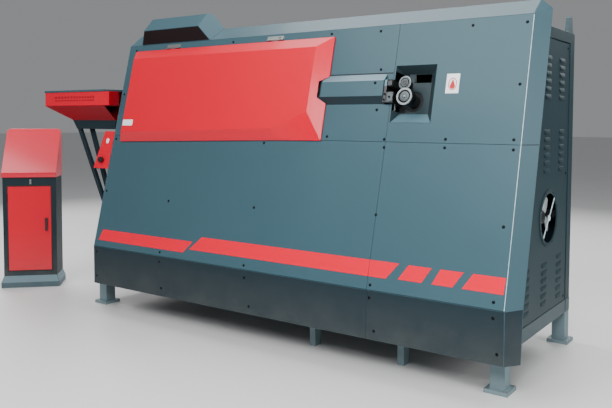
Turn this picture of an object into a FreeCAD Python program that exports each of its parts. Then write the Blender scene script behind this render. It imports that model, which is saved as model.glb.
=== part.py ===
import FreeCAD, Part
import math
import os

# Automatic stirrup bender for coiled rebar, with its free-standing control console.
# Millimetres. x runs along the machine from the wire inlet (left) to the bending head (right),
# y runs from the operator's side to the back, z runs up from the floor.
# The front cover leans back. Pieces on it are drawn in cover coordinates: x, then v up the
# slope from the fold above the skirt, then w outward from the cover's outer face.

Vec = FreeCAD.Vector

# ---- front cover -------------------------------------------------------------------------
sheet = 3.0
panel_gap = 2.0
cover_left = -55.0
cover_right = 2960.0
fold_z = 456.0
fold_top_z = 1886.0
fold_top_y = 348.0
skirt_bottom_z = 192.0
top_edge_y = 456.0
top_edge_z = 1971.0
end_bevel_x = 60.0
end_bevel_y = 100.0
tilt = math.degrees(math.atan2(fold_top_y, fold_top_z - fold_z))
slope_length = math.hypot(fold_top_y, fold_top_z - fold_z)
seam_x = 2204.0
seam_v = 800.0

# ---- frame -------------------------------------------------------------------------------
frame_left = -194.0
frame_right = 2916.0
frame_front = 148.0
frame_back = 1225.0
rail = 78.0
rail_wall = 5.0
rail_z0 = 192.0
rail_z1 = 270.0
post = 60.0
front_post_y = 462.0
post_inset = 10.0
middle_post_x = (640.0, 1640.0, 2140.0, 2405.0)
top_z = 1872.0
foot_plate = 125.0
foot_plate_t = 20.0
foot_hole_r = 7.0
foot_hole_spacing = 102.0
prop_x = (1690.0, 2290.0)

# ---- bar line, on the cover --------------------------------------------------------------
bar_v = 1097.0
bar_w = 14.0
bar_r = 6.0

# ---- lift-up feed door -------------------------------------------------------------------
door_left = 30.0
door_right = 1776.0
door_bottom_left_v = 757.0
door_bottom_right_v = 797.0
door_top_v = 1424.0
door_bevel = 48.0
door_right_bevel = 92.0
door_top_bevel = 72.0
door_rise = 60.0
door_lip = 10.0
door_back_w = 3.0
door_facet_x = 1437.0
door_facet_v = 855.0
door_corner_v = 958.0
hinge_x = (406.0, 1319.0)
hinge_v = 1434.0
hinge_w = 7.0
hinge_r = 5.5
hinge_pin_r = 3.0
hinge_half = 66.0
hinge_mid = 22.0
running = 0.05

# ---- wire tunnel and window --------------------------------------------------------------
tunnel_left = 1745.0
tunnel_right = 2164.0
tunnel_profile = ((1186.0, 0.0), (1139.0, 32.0), (1052.0, 32.0), (1012.0, 0.0))
window = (2214.0, 2461.0, 907.0, 1230.0)
window_back = (2228.0, 2404.0, 973.0, 1200.0)
window_depth = 72.0
feed_opening = (62.0, 1716.0, 862.0, 1376.0)

# ---- bending head ------------------------------------------------------------------------
head_x = 2309.0
head_v = 1043.0
mandrel_r = 48.0
mandrel_neck_r = 40.0
roller_x = 2297.0
roller_v = 1122.0
bend_roller_r = 19.0
bend_flange_r = 38.0
quill_r = 36.0
quill_clear = 0.08
arm_t = 12.0
arm_w0 = -21.0
cutter_back_w = -90.0
jaw_low_v = 1016.0
jaw_high_v = 1144.0

# ---- feed and straightener ---------------------------------------------------------------
plate_w1 = -12.0
plate_t = 20.0
roller_r = 30.0
roller_t = 26.0
roller_pitch = 190.0
lower_rollers = 3
lower_roller_x = 180.0
feed_r = 72.0
feed_t = 30.0
feed_x = (1010.0, 1250.0)
measure_x = 1500.0
measure_r = 42.0
axle_r = 12.0
guide_spans = ((640, 905), (1115, 1146), (1356, 1440), (1560, 1690), (1750, 2150))
gear_r = feed_r + bar_r
gear_teeth = 36
gear_w = -56.0
gear_t = 18.0

# ---- right side --------------------------------------------------------------------------
side_x = 2912.0
fan_y = 798.0
fan_z = 806.0
fan_r = 145.0

# ---- wire inlet tray ---------------------------------------------------------------------
tray_left = -827.0
tray_right = -62.0
tray_front = 150.0
tray_back = 372.0
tray_body_right = -122.0
tray_z0 = 1450.0
tray_z1 = 1553.0
tray_slope_z = 1343.0
tray_box_z = 1277.0
tray_beam_y0 = 252.0
tray_beam_y1 = 328.0
stop_flange_w = -50.0

# ---- console -----------------------------------------------------------------------------
console_x = -1186.0
console_y = -31.0
console_turn = 45.0
plinth_w = 440.0
plinth_d = 276.0
plinth_h = 41.0
shoulder_h = 93.0
shoulder_in = 18.0
cabinet_top = 884.0
lid_over = 14.0
lid_side = 5.0
lid_lip = 39.0
lid_top = 1270.0
lid_slope_back = 222.0
button_x = 110.0


def box(x0, x1, y0, y1, z0, z1):
    return Part.makeBox(x1 - x0, y1 - y0, z1 - z0, Vec(x0, y0, z0))


def rod(radius, start, end):
    along = Vec(*end) - Vec(*start)
    return Part.makeCylinder(radius, along.Length, Vec(*start), along)


def ring(outer, inner, start, end):
    return rod(outer, start, end).cut(rod(inner, start, end))


def polygon(points):
    corners = [Vec(*p) for p in points]
    return Part.makePolygon(corners + corners[:1])


def prism(points, run):
    return Part.Face(polygon(points)).extrude(Vec(*run))


def square_tube(x0, x1, y0, y1, z0, z1, axis, wall=rail_wall):
    outer = box(x0, x1, y0, y1, z0, z1)
    inset = [wall, wall, wall]
    inset[axis] = 0.0
    inner = box(x0 + inset[0], x1 - inset[0], y0 + inset[1], y1 - inset[1], z0 + inset[2], z1 - inset[2])
    return outer.cut(inner)


def group(shapes):
    solids = []
    for shape in shapes:
        solids.extend(shape.Solids)
    return solids[0] if len(solids) == 1 else Part.makeCompound(solids)


def on_cover(shape):
    # cover coordinates (x, v, w) to machine coordinates
    turn = FreeCAD.Rotation(Vec(1, 0, 0), 90.0 - tilt)
    moved = shape.copy()
    moved.Placement = FreeCAD.Placement(Vec(0, 0, fold_z), turn).multiply(moved.Placement)
    return moved


def cover_point(x, v, w):
    turn = FreeCAD.Rotation(Vec(1, 0, 0), 90.0 - tilt)
    return turn.multVec(Vec(x, v, w)) + Vec(0, 0, fold_z)


def at_console(shape):
    # console coordinates: x across the front, y to its back, z up
    turn = FreeCAD.Rotation(Vec(0, 0, 1), console_turn)
    moved = shape.copy()
    moved.Placement = FreeCAD.Placement(Vec(console_x, console_y, 0), turn).multiply(moved.Placement)
    return moved


# ---- welded frame ------------------------------------------------------------------------

def base_frame():
    inner_left = frame_left + rail
    inner_right = frame_right - rail
    rails = [
        square_tube(frame_left, frame_right, frame_front, frame_front + rail, rail_z0, rail_z1, 0),
        square_tube(frame_left, frame_right, frame_back - rail, frame_back, rail_z0, rail_z1, 0),
        square_tube(frame_left, inner_left, frame_front + rail, frame_back - rail, rail_z0, rail_z1, 1),
        square_tube(inner_right, frame_right, frame_front + rail, frame_back - rail, rail_z0, rail_z1, 1),
    ]
    return group(rails)


def cross_members():
    # across the base ring, and one long bearer on top that carries the front posts
    half = 20.0
    members = []
    for x in (700.0,) + prop_x:
        members.append(square_tube(x - half, x + half, frame_front + rail, frame_back - rail,
                                   rail_z0, rail_z1, 1, 4.0))
    members.append(square_tube(frame_left + post_inset, frame_right - post_inset, front_post_y,
                               front_post_y + post, rail_z1, rail_z1 + post, 0, 4.0))
    return group(members)


def corner_centres():
    xs = (frame_left + rail / 2, frame_right - rail / 2)
    ys = (frame_front + rail / 2, frame_back - rail / 2)
    return [(x, y) for x in xs for y in ys]


def feet():
    # four legs, each welded to a plate with four anchor holes, and two plain props
    standing = []
    half_plate = foot_plate / 2
    half_hole = foot_hole_spacing / 2
    for x, y in corner_centres():
        plate = box(x - half_plate, x + half_plate, y - half_plate, y + half_plate, 0, foot_plate_t)
        for sx in (-1, 1):
            for sy in (-1, 1):
                hx = x + sx * half_hole
                hy = y + sy * half_hole
                plate = plate.cut(rod(foot_hole_r, (hx, hy, -1), (hx, hy, foot_plate_t + 1)))
        leg = box(x - rail / 2, x + rail / 2, y - rail / 2, y + rail / 2, foot_plate_t, rail_z0)
        standing.append(plate.fuse(leg).removeSplitter())
    prop_y = frame_front + rail + 2
    for x in prop_x:
        standing.append(box(x - 20, x + 20, prop_y, prop_y + post, 0, rail_z0))
    return group(standing)


def upper_frame():
    # posts and the ring of beams on top of them
    wall = 4.0
    front_x = (frame_left + post_inset, frame_right - post_inset - post)
    rear_x = (frame_left, frame_right - post)
    y0 = front_post_y
    y1 = front_post_y + post
    y2 = frame_back - rail
    members = []
    for x in front_x:
        members.append(square_tube(x, x + post, y0, y1, rail_z1 + post, top_z, 2, wall))
    for x in rear_x:
        members.append(square_tube(x, x + post, y2, frame_back, rail_z1, top_z, 2, wall))
        members.append(square_tube(x, x + post, y1, y2, top_z - post, top_z, 1, wall))
    for x in middle_post_x:
        members.append(square_tube(x, x + post, y0, y1, rail_z1 + post, top_z - post, 2, wall))
    members.append(square_tube(front_x[0] + post, front_x[1], y0, y1, top_z - post, top_z, 0, wall))
    members.append(square_tube(rear_x[0] + post, rear_x[1], frame_back - post, frame_back,
                               top_z - post, top_z, 0, wall))
    return group(members)


def frame_brackets():
    # short pieces that carry the feed plate, cutter, head, inlet tray and stop station
    y1 = front_post_y
    brackets = []
    plate_back = cover_point(0, 960, plate_w1 - plate_t)
    for x in middle_post_x[:2]:
        brackets.append(box(x, x + post, plate_back.y + 4, y1, plate_back.z - 30, plate_back.z + 10))
    cutter_back = cover_point(0, bar_v, cutter_back_w)
    x = middle_post_x[2]
    brackets.append(box(x, x + 44, cutter_back.y + 4, y1, cutter_back.z - 10, cutter_back.z + 10))
    brackets.append(box(x + post, middle_post_x[3], y1, y1 + post, 1228, 1286))
    x = frame_left + post_inset
    brackets.append(box(x, x + post, tray_beam_y1, y1, tray_box_z + 4, tray_slope_z - 6))
    stop_back = cover_point(0, 700, stop_flange_w)
    brackets.append(box(x, x + 40, stop_back.y + 6, y1, stop_back.z - 20, stop_back.z + 20))
    return group(brackets)


def lifting_hooks():
    # a plate hook stands on each rear corner post
    thick = 24.0
    y1 = frame_back
    outline = ((y1 - 130, 0), (y1 - 104, 14), (y1 - 90, 50), (y1 - 80, 92), (y1 - 68, 104),
               (y1 - 50, 102), (y1 - 34, 84), (y1 - 14, 18), (y1, 0))
    hooks = []
    for x0 in (frame_left + 6, frame_right - 6 - thick):
        hooks.append(prism([(x0, y, top_z + z) for y, z in outline], (thick, 0, 0)))
    return group(hooks)


# ---- front cover panels ------------------------------------------------------------------

def framed_sheet(x0, x1, v0, v1, hole):
    # a sheet round an opening, as the four strips beside, under and over it
    a0, a1, b0, b1 = hole
    strips = [box(x0, x1, v0, b0, -sheet, 0), box(x0, x1, b1, v1, -sheet, 0)]
    strips.append(box(x0, a0, b0, b1, -sheet, 0))
    strips.append(box(a1, x1, b0, b1, -sheet, 0))
    return strips


def cutter_gap():
    # opening across the seam where the cutter stands out
    return box(tunnel_right, window[0] + 0.5, jaw_low_v - 6, jaw_high_v + 6, -sheet - 1, 1)


def upper_left_panel():
    right = seam_x - panel_gap / 2
    strips = framed_sheet(cover_left, right, seam_v + panel_gap / 2, slope_length, feed_opening)
    return on_cover(group([strip.cut(cutter_gap()) for strip in strips]))


def upper_right_panel():
    left = seam_x + panel_gap / 2
    strips = framed_sheet(left, cover_right, seam_v + panel_gap / 2, slope_length, window)
    return on_cover(group([strip.cut(cutter_gap()) for strip in strips]))


def lower_panels():
    # sloping panels under the long seam and upright skirts under the fold
    spans = ((cover_left, seam_x - panel_gap / 2), (seam_x + panel_gap / 2, cover_right))
    sheets = []
    for x0, x1 in spans:
        sheets.append(on_cover(box(x0, x1, panel_gap, seam_v - panel_gap / 2, -sheet, 0)))
        sheets.append(box(x0, x1, 0, sheet, skirt_bottom_z, fold_z - 1))
    return group(sheets)


def top_cover():
    # chamfer above the upper fold, with a flange turned down behind it
    y0 = fold_top_y
    z0 = fold_top_z + 1
    slope = ((y0, z0), (top_edge_y, top_edge_z), (top_edge_y, top_edge_z - 4), (y0 + 4, z0 - 1))
    run = (cover_right - cover_left, 0, 0)
    chamfer = prism([(cover_left, y, z) for y, z in slope], run)
    flange = box(cover_left, cover_right, top_edge_y - sheet, top_edge_y, top_edge_z - 60, top_edge_z - 7)
    return group([chamfer, flange])


def end_facet(x_edge, x_out):
    # bevelled end of the cover: folded sheet facets from the front edge back to the outer edge
    thickness = Vec(-sheet if x_out > x_edge else sheet, sheet, 0)
    front = [(0.0, skirt_bottom_z), (0.0, fold_z), (fold_top_y, fold_top_z), (top_edge_y, top_edge_z)]
    back = [(end_bevel_y * 0.75, skirt_bottom_z), (end_bevel_y, fold_z),
            (fold_top_y + end_bevel_y, fold_top_z - 10.0), (top_edge_y, top_edge_z - 50.0)]
    facets = []
    for i in range(3):
        a = (x_edge,) + front[i]
        b = (x_edge,) + front[i + 1]
        c = (x_out,) + back[i + 1]
        d = (x_out,) + back[i]
        near = Part.Face(polygon((a, b, c))).extrude(thickness)
        facets.append(near.fuse(Part.Face(polygon((a, c, d))).extrude(thickness)).removeSplitter())
    return group(facets)


def right_end_cover():
    return end_facet(cover_right + sheet + 0.5, cover_right + end_bevel_x)


def left_end_cover():
    return end_facet(cover_left - sheet - 0.5, cover_left - end_bevel_x)


def hood_block(inset):
    y0 = fold_top_y + 1 + inset
    lean = Vec(0, 109, 120)
    top = 1992 - inset
    front = ((48 + inset, 1782), (88 + inset, top), (632 - inset, top), (856 - 2 * inset, 1782))
    swept = Part.Face(polygon([(x, y0, z) for x, z in front])).extrude(lean)
    profile = ((y0, fold_top_z + 2.5 - 2 * inset), (y0, top), (y0 + 82 - inset, 2082 - 2 * inset),
               (top_edge_y - inset, 2082 - 2 * inset), (top_edge_y - inset, top_edge_z + 1.0 - 2 * inset))
    return swept.common(prism([(0, y, z) for y, z in profile], (900, 0, 0)))


def drive_hood():
    # raised box over the drive, sitting on the chamfer at the inlet end, open underneath
    return hood_block(0).cut(hood_block(sheet)).removeSplitter()


# ---- other body panels -------------------------------------------------------------------

def side_outline(x, setback):
    y_low = 100.0 + setback
    y_high = fold_top_y + 60.0 + setback
    top = top_z - post - 4
    back = frame_back - rail - 4
    return [(x, y_low + 20, rail_z1 + 2), (x, y_low, fold_z), (x, y_high, top), (x, back, top),
            (x, back, rail_z1 + 2)]


def right_side_panel():
    panel = prism(side_outline(side_x - sheet, 20), (sheet, 0, 0))
    return panel.cut(rod(fan_r, (side_x - 10, fan_y, fan_z), (side_x + 10, fan_y, fan_z)))


def outer_panels():
    # left side, three lift-off panels between the rear posts, and the flat roof
    x0 = frame_left + post + 3
    width = (frame_right - frame_left - 2 * post - 6) / 3
    y1 = frame_back - 20
    panels = [prism(side_outline(frame_left - sheet, 50), (sheet, 0, 0))]
    for i in range(3):
        left = x0 + i * width
        panels.append(box(left, left + width - 4, y1 - sheet, y1, rail_z1 + 3, top_z - post - 3))
    roof_back = frame_back - 4
    panels.append(box(frame_left + 34, frame_right - 34, top_edge_y + 6, roof_back, top_z, top_z + sheet))
    return group(panels)


# ---- cooling fan -------------------------------------------------------------------------

def fan_guard():
    # rim, hub plate and one diagonal strut across the opening
    x0 = side_x
    x1 = side_x + 6
    guard = ring(fan_r + 16, fan_r - 6, (x0, fan_y, fan_z), (x1, fan_y, fan_z))
    guard = guard.fuse(rod(42, (x0, fan_y, fan_z), (x1, fan_y, fan_z)))
    for angle in (-41.0, 139.0):
        strut = box(x0, x1, fan_y - 7, fan_y + 7, fan_z + 38, fan_z + fan_r)
        strut.rotate(Vec(x0, fan_y, fan_z), Vec(1, 0, 0), angle)
        guard = guard.fuse(strut)
    return guard.removeSplitter()


def fan_rotor():
    x0 = side_x - 62
    x1 = side_x - 22
    rotor = ring(38, 5 + running, (x0, fan_y, fan_z), (x1, fan_y, fan_z))
    for i in range(7):
        blade = box(x0 + 18, x0 + 21, fan_y - 26, fan_y + 26, fan_z + 34, fan_z + fan_r - 12)
        blade.rotate(Vec(x0 + 19, fan_y, fan_z), Vec(0, 0, 1), 32)
        blade.rotate(Vec(x0, fan_y, fan_z), Vec(1, 0, 0), i * 360.0 / 7)
        rotor = rotor.fuse(blade)
    return rotor


def fan_motor():
    # motor with its shaft, on a bar between two stays behind the side panel
    x0 = side_x - 150
    x1 = side_x - 138
    motor = rod(48, (x1, fan_y, fan_z), (side_x - 70, fan_y, fan_z))
    motor = motor.fuse(rod(5, (side_x - 70, fan_y, fan_z), (side_x - 24, fan_y, fan_z)))
    pieces = [motor, box(x0, x1, fan_y - 215, fan_y + 215, fan_z - 20, fan_z + 20)]
    for y in (fan_y - 215, fan_y + 205):
        pieces.append(box(x1, side_x - sheet, y, y + 10, fan_z - 20, fan_z + 20))
    return group(pieces)


# ---- feed door ---------------------------------------------------------------------------

def door_outline(inset):
    # plan corners of the rim and of the raised face, from the lower left corner round
    left = door_left + inset
    right = door_right - inset
    top = door_top_v - inset
    rim = ((left, door_bottom_left_v + inset), (door_facet_x, door_bottom_right_v - 4 + inset),
           (right, door_bottom_right_v + inset), (right, top), (left, top))
    face_left = door_left + door_bevel + inset
    face_right = door_right - door_right_bevel - inset
    face_top = door_top_v - door_top_bevel - inset
    face = ((face_left, door_bottom_left_v + 58 + inset), (door_facet_x, door_facet_v + inset),
            (face_right, door_corner_v + inset / 2), (face_right, face_top), (face_left, face_top))
    return rim, face


def door_block(inset, w_back, w_lip, w_face):
    rim, face = door_outline(inset)
    rings = [polygon([(x, v, w_back) for x, v in rim]), polygon([(x, v, w_lip) for x, v in rim]),
             polygon([(x, v, w_face) for x, v in face])]
    return Part.makeLoft(rings, True, True)


def feed_door():
    # raised lid of folded sheet: a flat face and five sloping sides, open for the bar at both ends
    under_face = door_rise - sheet
    outer = door_block(0, door_back_w, door_lip, door_rise)
    shell = outer.cut(door_block(sheet, door_back_w - 1, door_lip - 1, under_face))
    clear = 5.0
    (v3, w3), (v2, w2), (v1, w1), (v0, w0) = tunnel_profile
    notch = prism([(1640, v0 - clear, 0), (1640, v1 - clear, w1 + clear), (1640, v2 + clear, w2 + clear),
                   (1640, v3 + clear, 0)], (200, 0, 0))
    inlet = box(door_left - 1, 120, bar_v - 30, bar_v + 30, 0, 36)
    shell = shell.cut(notch).cut(inlet)
    rim, face = door_outline(0)
    sheets = [shell.common(box(0, 1800, 700, 1500, under_face, door_rise + 1))]
    for i in range(5):
        k = (i + 1) % 5
        corners = [rim[i] + (0,), rim[k] + (0,), face[k] + (0,), face[i] + (0,)]
        sheets.append(shell.common(prism(corners, (0, 0, under_face))))
    return on_cover(group(sheets))


def door_hinges():
    # fixed leaves, outer knuckles and pins
    pieces = []
    for x in hinge_x:
        leaf = box(x - hinge_half, x + hinge_half, hinge_v + 6, hinge_v + 26, 0, 3)
        for a, b in ((-hinge_half, -hinge_mid), (hinge_mid, hinge_half)):
            leaf = leaf.fuse(rod(hinge_r, (x + a, hinge_v, hinge_w), (x + b, hinge_v, hinge_w)))
            leaf = leaf.fuse(box(x + a, x + b, hinge_v + 1, hinge_v + 6, 0, hinge_w))
        pin_start = (x - hinge_mid, hinge_v, hinge_w)
        pin_end = (x + hinge_mid, hinge_v, hinge_w)
        leaf = leaf.fuse(rod(hinge_pin_r, pin_start, pin_end))
        pieces.append(leaf.removeSplitter())
    return on_cover(group(pieces))


def door_knuckles():
    pieces = []
    gap = 0.5
    for x in hinge_x:
        start = (x - hinge_mid + gap, hinge_v, hinge_w)
        end = (x + hinge_mid - gap, hinge_v, hinge_w)
        knuckle = rod(hinge_r, start, end)
        knuckle = knuckle.fuse(box(start[0], end[0], door_top_v, hinge_v - 2, hinge_w - 3, hinge_w))
        pieces.append(knuckle.cut(rod(hinge_pin_r + running, start, end)).removeSplitter())
    return on_cover(group(pieces))


# ---- tunnel and window -------------------------------------------------------------------

def tunnel_cover():
    # folded cover over the bar: two sloping sides and a flat front
    t = 2.5
    outside = tunnel_profile
    (v3, w3), (v2, w2), (v1, w1), (v0, w0) = tunnel_profile
    inside = ((v3 - 4, w3), (v2 - 1, w2 - t), (v1 + 1, w1 - t), (v0 + 4, w0))
    sides = []
    for i in range(3):
        corners = (outside[i], outside[i + 1], inside[i + 1], inside[i])
        sides.append(prism([(tunnel_left, v, w) for v, w in corners], (tunnel_right - tunnel_left, 0, 0)))
    return on_cover(group(sides))


def window_box():
    # tapered pan behind the window: four sloping walls and a back with openings for the head
    x0, x1, v0, v1 = window
    a0, a1, b0, b1 = window_back
    low = -window_depth
    front = ((x0, v0), (x1, v0), (x1, v1), (x0, v1))
    back = ((a0, b0), (a1, b0), (a1, b1), (a0, b1))
    outward = ((0, -sheet, 0), (sheet, 0, 0), (0, sheet, 0), (-sheet, 0, 0))
    cutter_way = box(2190, 2262, b0 + 7, b1 - 1, low - 5, 5)
    walls = []
    for i in range(4):
        k = (i + 1) % 4
        corners = [front[i] + (-sheet,), front[k] + (-sheet,), back[k] + (low,), back[i] + (low,)]
        walls.append(prism(corners, outward[i]).cut(cutter_way))
    back_sheet = box(a0, a1, b0, b1, low - sheet, low)
    back_sheet = back_sheet.cut(rod(quill_r + 22, (head_x, head_v, low - 5), (head_x, head_v, low + 8)))
    back_sheet = back_sheet.cut(box(2300, 2402, 1150, 1198, low - 5, low + 8)).cut(cutter_way)
    return on_cover(group(walls + [back_sheet]))


# ---- cutter ------------------------------------------------------------------------------

def cutter_block():
    # fixed blade holder with the bar's bushing, and the lower jaw beside it
    block = box(2169, 2186, jaw_low_v, jaw_high_v, cutter_back_w, 30)
    block = block.fuse(box(2120, 2169, jaw_low_v, jaw_high_v, cutter_back_w, -20))
    block = block.fuse(rod(15, (2166, bar_v, bar_w), (2169, bar_v, bar_w)))
    block = block.cut(rod(bar_r + 1.5, (2160, bar_v, bar_w), (2190, bar_v, bar_w)))
    jaw = box(2186, 2230, jaw_low_v, 1075, -80, 26)
    return on_cover(block.fuse(jaw).removeSplitter())


def cutter_blade():
    # upper jaw that shears the bar against the bushing's face
    blade = box(2187, 2219, bar_v + bar_r + 2, jaw_high_v, -80, 26)
    return on_cover(blade.fuse(box(2190, 2216, 1110, 1138, 26, 32)).removeSplitter())


# ---- bending head ------------------------------------------------------------------------

def head_quill():
    # sliding spindle nose behind the bending disc
    quill = rod(quill_r, (head_x, head_v, -230), (head_x, head_v, -24))
    return on_cover(quill.fuse(rod(18, (head_x, head_v, -24), (head_x, head_v, 10))))


def mandrel():
    # stacked discs that the bar bends round: body, narrower neck and front face
    body = ring(mandrel_r, 18, (head_x, head_v, -7), (head_x, head_v, 10))
    body = body.fuse(rod(mandrel_r, (head_x, head_v, 10), (head_x, head_v, 25))).removeSplitter()
    neck = rod(mandrel_neck_r, (head_x, head_v, 25), (head_x, head_v, 36))
    face = rod(mandrel_r, (head_x, head_v, 36), (head_x, head_v, 44))
    return on_cover(group([body, neck, face]))


def bend_arm():
    # arm that swings round the mandrel, with the pin for the bending roller
    w1 = arm_w0 + arm_t
    hub = rod(33, (head_x, head_v, arm_w0), (head_x, head_v, w1))
    tip = rod(22, (roller_x, roller_v, arm_w0), (roller_x, roller_v, w1))
    run_x = roller_x - head_x
    run_v = roller_v - head_v
    length = math.hypot(run_x, run_v)
    side_x_part = -run_v / length
    side_v_part = run_x / length
    corners = [(head_x + side_x_part * 30, head_v + side_v_part * 30, arm_w0),
               (head_x - side_x_part * 30, head_v - side_v_part * 30, arm_w0),
               (roller_x - side_x_part * 21, roller_v - side_v_part * 21, arm_w0),
               (roller_x + side_x_part * 21, roller_v + side_v_part * 21, arm_w0)]
    arm = hub.fuse(tip).fuse(prism(corners, (0, 0, arm_t)))
    arm = arm.cut(rod(18 + quill_clear, (head_x, head_v, -40), (head_x, head_v, 40)))
    pin = rod(10, (roller_x, roller_v, arm_w0), (roller_x, roller_v, 36))
    return on_cover(arm.fuse(pin).removeSplitter())


def bend_roller():
    start = (roller_x, roller_v, arm_w0 + arm_t + 1)
    neck = (roller_x, roller_v, 26.5)
    end = (roller_x, roller_v, 34)
    barrel = ring(bend_roller_r, 10 + running, start, neck)
    flange = ring(bend_flange_r, 10 + running, neck, end)
    return on_cover(group([barrel, flange]))


def head_housing():
    # spindle housing, gearbox and servo motor behind the window
    x0 = head_x - 90
    x1 = head_x + 90
    v0 = head_v - 110
    v1 = head_v + 110
    low = -window_depth - sheet
    block = box(x0, x1, v0, v1, -225, low - 6)
    block = block.cut(rod(quill_r + running, (head_x, head_v, -226), (head_x, head_v, low)))
    block = block.fuse(box(x0, x1, v0, v1, -330, -262).fuse(box(x0, x0 + 20, v0, v1, -262, -225)))
    block = block.fuse(box(x1 - 20, x1, v0, v1, -262, -225))
    motor = rod(62, (head_x, head_v, -560), (head_x, head_v, -330))
    return on_cover(block.fuse(motor).removeSplitter())


# ---- feed and straightener ---------------------------------------------------------------

def roller_places():
    places = []
    for i in range(lower_rollers):
        places.append((lower_roller_x + i * roller_pitch, bar_v - bar_r - roller_r, roller_r))
    for i in range(lower_rollers - 1):
        places.append((lower_roller_x + (i + 0.5) * roller_pitch, bar_v + bar_r + roller_r + 0.5, roller_r))
    return places


def feed_places():
    # x, v and whether the gear behind is turned by half a tooth
    places = []
    for x in feed_x:
        places.append((x, bar_v - bar_r - feed_r, 0))
        places.append((x, bar_v + bar_r + feed_r, 1))
    return places


def measure_place():
    return (measure_x, bar_v - bar_r - measure_r, measure_r)


def wheel_axles():
    # fixed pins for the straightening rollers and the measuring wheel
    w0 = plate_w1
    axles = []
    for x, v, r in roller_places() + [measure_place()]:
        pin = rod(axle_r, (x, v, w0), (x, v, bar_w + roller_t / 2 + 12))
        axles.append(pin.fuse(rod(axle_r + 8, (x, v, w0), (x, v, w0 + 6))))
    return on_cover(group(axles))


def feed_plate():
    plate = box(70, 1706, 885, 1370, plate_w1 - plate_t, plate_w1)
    for x, v, half_step in feed_places():
        plate = plate.cut(rod(24 + running, (x, v, -60), (x, v, 0)))
    return on_cover(plate)


def plain_roller(x, v, r):
    w0 = bar_w - roller_t / 2
    w1 = bar_w + roller_t / 2
    roller = rod(r, (x, v, w0), (x, v, w1))
    return on_cover(roller.cut(rod(axle_r + running, (x, v, w0 - 1), (x, v, w1 + 1))))


def feed_wheel(x, v):
    # wheel with its shaft through the plate to the drive gear behind, and a clamp cap in front
    w0 = bar_w - feed_t / 2
    w1 = bar_w + feed_t / 2
    wheel = rod(feed_r, (x, v, w0), (x, v, w1))
    wheel = wheel.fuse(rod(24, (x, v, -58), (x, v, w0)))
    wheel = wheel.fuse(rod(30, (x, v, w1), (x, v, w1 + 10)))
    return on_cover(wheel.removeSplitter())


def drive_gear(x, v, half_step):
    # toothed wheel on the back end of one feed shaft, in mesh with the one above or below
    root = gear_r - 5
    tip = gear_r + 3.5
    step = 360.0 / gear_teeth
    gear = rod(root, (x, v, gear_w), (x, v, gear_w + gear_t))
    teeth = []
    for i in range(gear_teeth):
        tooth = prism([(x + root - 1, v - 4.0, gear_w), (x + tip, v - 1.6, gear_w),
                       (x + tip, v + 1.6, gear_w), (x + root - 1, v + 4.0, gear_w)], (0, 0, gear_t))
        tooth.rotate(Vec(x, v, gear_w), Vec(0, 0, 1), i * step + half_step * step / 2)
        teeth.append(tooth)
    gear = gear.multiFuse(teeth)
    return on_cover(gear.cut(rod(24, (x, v, gear_w - 5), (x, v, gear_w + gear_t + 5))))


def bar_guides():
    # three-sided channels of hardened strip that lead the bar between the wheels
    half = bar_r + 1.5
    t = 6.0
    strips = []
    for x0, x1 in guide_spans:
        strips.append(box(x0, x1, bar_v - half - t, bar_v - half, bar_w - half - t, bar_w + half))
        strips.append(box(x0, x1, bar_v + half, bar_v + half + t, bar_w - half - t, bar_w + half))
        strips.append(box(x0, x1, bar_v - half, bar_v + half, bar_w - half - t, bar_w - half))
        mid = (x0 + x1) / 2
        w_low = plate_w1 if x1 < tunnel_left else 0.0
        strips.append(box(mid - 10, mid + 10, bar_v - half, bar_v + half, w_low, bar_w - half - t))
    return on_cover(group(strips))


def straightener_screws():
    # adjusting bolts with lock nuts above each upper roller
    w = bar_w
    screws = []
    block = box(225, 515, bar_v + 100, bar_v + 128, plate_w1, 36)
    for i in range(lower_rollers - 1):
        x = lower_roller_x + (i + 0.5) * roller_pitch
        block = block.cut(rod(9, (x, bar_v + 90, w), (x, bar_v + 140, w)))
        screw = rod(9, (x, bar_v + 74, w), (x, bar_v + 165, w))
        head = prism([(x + 15 * math.cos(math.radians(60 * k)), bar_v + 165,
                       w + 15 * math.sin(math.radians(60 * k))) for k in range(6)], (0, 12, 0))
        screws.append(screw.fuse(head))
    return on_cover(group([block] + screws))


def feed_drive():
    # gear case and servo motor behind the feed plate
    case = box(900, 1360, 905, 1290, -96, -66)
    case = case.fuse(rod(80, (1130, bar_v, -330), (1130, bar_v, -96)))
    stays = [box(x, x + 24, 905, 929, -66, plate_w1 - plate_t) for x in (900, 1336)]
    for stay in stays:
        case = case.fuse(stay)
    upper = [box(x, x + 24, 1266, 1290, -66, plate_w1 - plate_t) for x in (900, 1336)]
    for stay in upper:
        case = case.fuse(stay)
    return on_cover(case)


# ---- wire inlet tray ---------------------------------------------------------------------

def tray_cap():
    return box(tray_left - 4, tray_body_right, tray_front - 4, tray_back, tray_z1, tray_z1 + 14)


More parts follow.
